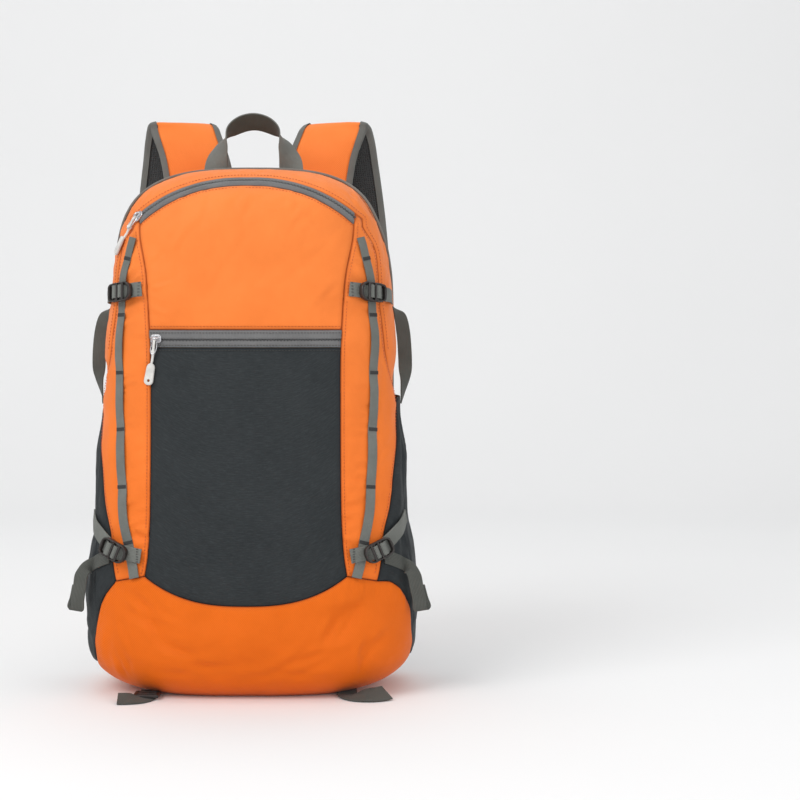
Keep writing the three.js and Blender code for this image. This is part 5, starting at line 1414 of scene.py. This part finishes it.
def lash_straps():
    for word, rows in LASH_ROWS.items():
        middles = [np.array(row[:3]) * LASH_WIDTH for row in rows]
        turns = [math.radians(row[3]) for row in rows]
        acrosses = [(math.cos(turn), math.sin(turn), row[4]) for turn, row in zip(turns, rows)]
        # painted shade: the lash straps are drawn in the darker copy of the webbing
        piece = web(f"{word}_lash_webbing", curve(middles, 60), curve(acrosses, 60), LASH_WIDTH, WEB_DRAWN,
                    WEB_PAINTED_SHADE)
        settle(piece, "webbing", f"{word}_lash_strap")
    near, far = LASH_ROWS["left"][2:4]
    middle = np.array((near[0], mix(near[1], far[1], 0.3), near[2])) * LASH_WIDTH + (0, 0, WEBBING / 2 + CLEAR)
    lock = plate("left_lash_lock_frame", oval(22, 25, 3), [
        oval(4.0, 19, 1.4, (-5.2, 0)), oval(4.0, 19.6, 1.4, (5.2, 0))], 3.2, BUCKLE, 0.8)
    stand(lock, middle, np.array((0, -1.0, 0)), np.array((0, 0, 1.0)))
    settle(lock, "buckle_plastic", "left_lash_lock")


# climb and lean in degrees, out and up of each slider
ZIP_ROWS = {"pocket": (0, 10, 0.515, mix(POCKET_ZIP_BOTTOM, POCKET_ZIP_TOP, 0.49)),
            "main": (42, 37, 0.632, mix(STRIP_TOP, float(arch_outer(1.0)), 0.55))}


def zip_pull(word):
    climb, lean, out, height = ZIP_ROWS[word]
    lean = math.radians(lean)

    def seat(share, lift):
        x = np.array([-out * BODY_HALF_WIDTH - share * PULL_LENGTH * math.sin(lean)])
        z = np.array([height - share * PULL_LENGTH * math.cos(lean)])
        points, normals = skin(face_point(x, z, -1), lift)
        return points[0], normals[0]

    point, normal = seat(0, CLEAR)
    climb = math.radians(climb)
    along = np.array((math.cos(climb), 0, math.sin(climb)))
    # slider: a shield plate with a domed bridge
    body = plate(f"{word}_slider_plate", oval(11, 8, 2.6), [], 2.4, METAL, 0.7)
    dome = bar(f"{word}_dome", (-4.2, 0, 2.3), (4.2, 0, 2.3), 1.9, METAL, 0.9)
    bridge = curve([(-3.6, 0, 2.6), (-2.4, 0, 5.2), (1.8, 0, 5.4), (3.6, 0, 2.8)], 20)
    arch = tube(f"{word}_bridge", bridge, np.tile((0.0, 1, 0), (20, 1)), 1.0, METAL, 10)
    slider = join(f"{word}_slider_body", [body, dome, arch])
    stand(slider, point, along, normal)
    settle(slider, "slider_metal", f"{word}_slider")
    # wire bail, cord, knot and moulded grip
    rows = [seat(share, lift) for share, lift in
            ((0.02, 5.0), (0.12, 4.8), (0.24, 3.6), (0.34, 2.6), (0.44, 1.9), (0.52, 1.8), (0.60, 1.8))]
    line = np.array([row[0] for row in rows])
    normals = np.array([row[1] for row in rows])
    down = unit(line[-1] - line[0])
    side = unit(np.cross(down, normals[0]))
    wire = []
    for k in np.linspace(0, 2 * math.pi, 40):
        share = 0.17 + 0.17 * math.cos(k)
        p = seat(share, 3.4 - 1.1 * math.cos(k + math.pi))[0]
        wire.append(p + side * 3.4 * math.sin(k) * (0.8 + 0.2 * math.cos(k)))
    bail = tube(f"{word}_bail", np.array(wire), np.tile(normals[0], (40, 1)), 0.55, METAL, 8)
    path = curve(line, 50)
    knot = 1 + 0.9 * np.exp(-(((np.linspace(0, 1, 50) - 0.42) / 0.07) ** 2))
    cord = tube(f"{word}_cord", path, np.tile(normals[2], (50, 1)), 1.25 * knot, GRIP, 10)
    outline = [(x, y * (1 - 0.16 * (x < 0) * min(-x / 9, 1))) for x, y in oval(21, 9.2, 4.0)]
    grip = plate(f"{word}_grip", outline, [oval(2.6, 2.6, 1.3, (6.2, 0))], 3.0, GRIP, 1.1)
    p, n = seat(0.78, 0.6)
    stand(grip, p, down, n)
    pull = join(f"{word}_pull_body", [bail, cord, grip])
    settle(pull, "pull_rubber", f"{word}_pull")


for side, word in SIDES:
    compression_straps(side, word)
    strap_tails(side, word)
    shoulder_strap(side, word)
    lower_webbing(side, word)
grab_handle()
lash_straps()
zip_pull("pocket")
zip_pull("main")


def studio():
    """Pale floor that curves up behind, four soft lights and the camera at the photograph's angle."""
    width, front, back, rise, bend = 6000.0, -2600.0, 2400.0, 3000.0, 900.0
    profile = [(front, 0.0), (0.0, 0.0), (back - bend, 0.0)]
    for angle in np.linspace(0.1, math.pi / 2, 16):
        profile.append((back - bend + bend * math.sin(angle), bend - bend * math.cos(angle)))
    profile += [(back, rise)]
    vertices = [(x, y, z) for y, z in profile for x in (-width, width)]
    faces = [(2 * k, 2 * k + 1, 2 * k + 3, 2 * k + 2) for k in range(len(profile) - 1)]
    f = Finish("paper", 0.9)
    cloud = f.noise(f.place(1 / 400), 2.0)
    f.put(f.shader, "Base Color", f.blend(cloud, (0.86, 0.86, 0.86), (0.88, 0.88, 0.88)))
    floor = new_piece("floor", vertices, faces, f.material)

    def light(name, place, target, size, power):
        data = bpy.data.lights.new(name, "AREA")
        data.shape = "RECTANGLE"
        data.size, data.size_y = size
        data.energy = power
        item = bpy.data.objects.new(name, data)
        item.location = Vector(place)
        item.rotation_euler = (Vector(target) - Vector(place)).to_track_quat("-Z", "Y").to_euler()
        bpy.context.scene.collection.objects.link(item)

    light("key", (-1.5, -1.7, 2.2), (0, 0, 0.25), (1.6, 1.6), 41)
    light("fill", (1.9, -1.6, 1.1), (0, 0, 0.25), (1.8, 1.8), 13)
    light("top", (0.0, 0.4, 2.6), (0, 0.1, 0.2), (2.4, 1.8), 17)
    light("front", (0.1, -2.9, 0.9), (0, 0, 0.25), (2.2, 1.4), 12)
    world = bpy.data.worlds.new("studio")
    world.use_nodes = True
    world.node_tree.nodes["Background"].inputs[0].default_value = (0.93, 0.94, 0.95, 1)
    world.node_tree.nodes["Background"].inputs[1].default_value = 0.58
    bpy.context.scene.view_settings.view_transform = "Standard"
    bpy.context.scene.world = world
    camera = bpy.data.cameras.new("camera")
    camera.lens, camera.sensor_width = 85.5, 36.0
    item = bpy.data.objects.new("camera", camera)
    place, target = Vector((0.1476, -1.8974, 0.3859)), Vector((0.1476, 0.0, 0.28646))
    item.location = place
    item.rotation_euler = (target - place).to_track_quat("-Z", "Y").to_euler()
    bpy.context.scene.collection.objects.link(item)
    bpy.context.scene.camera = item


studio()
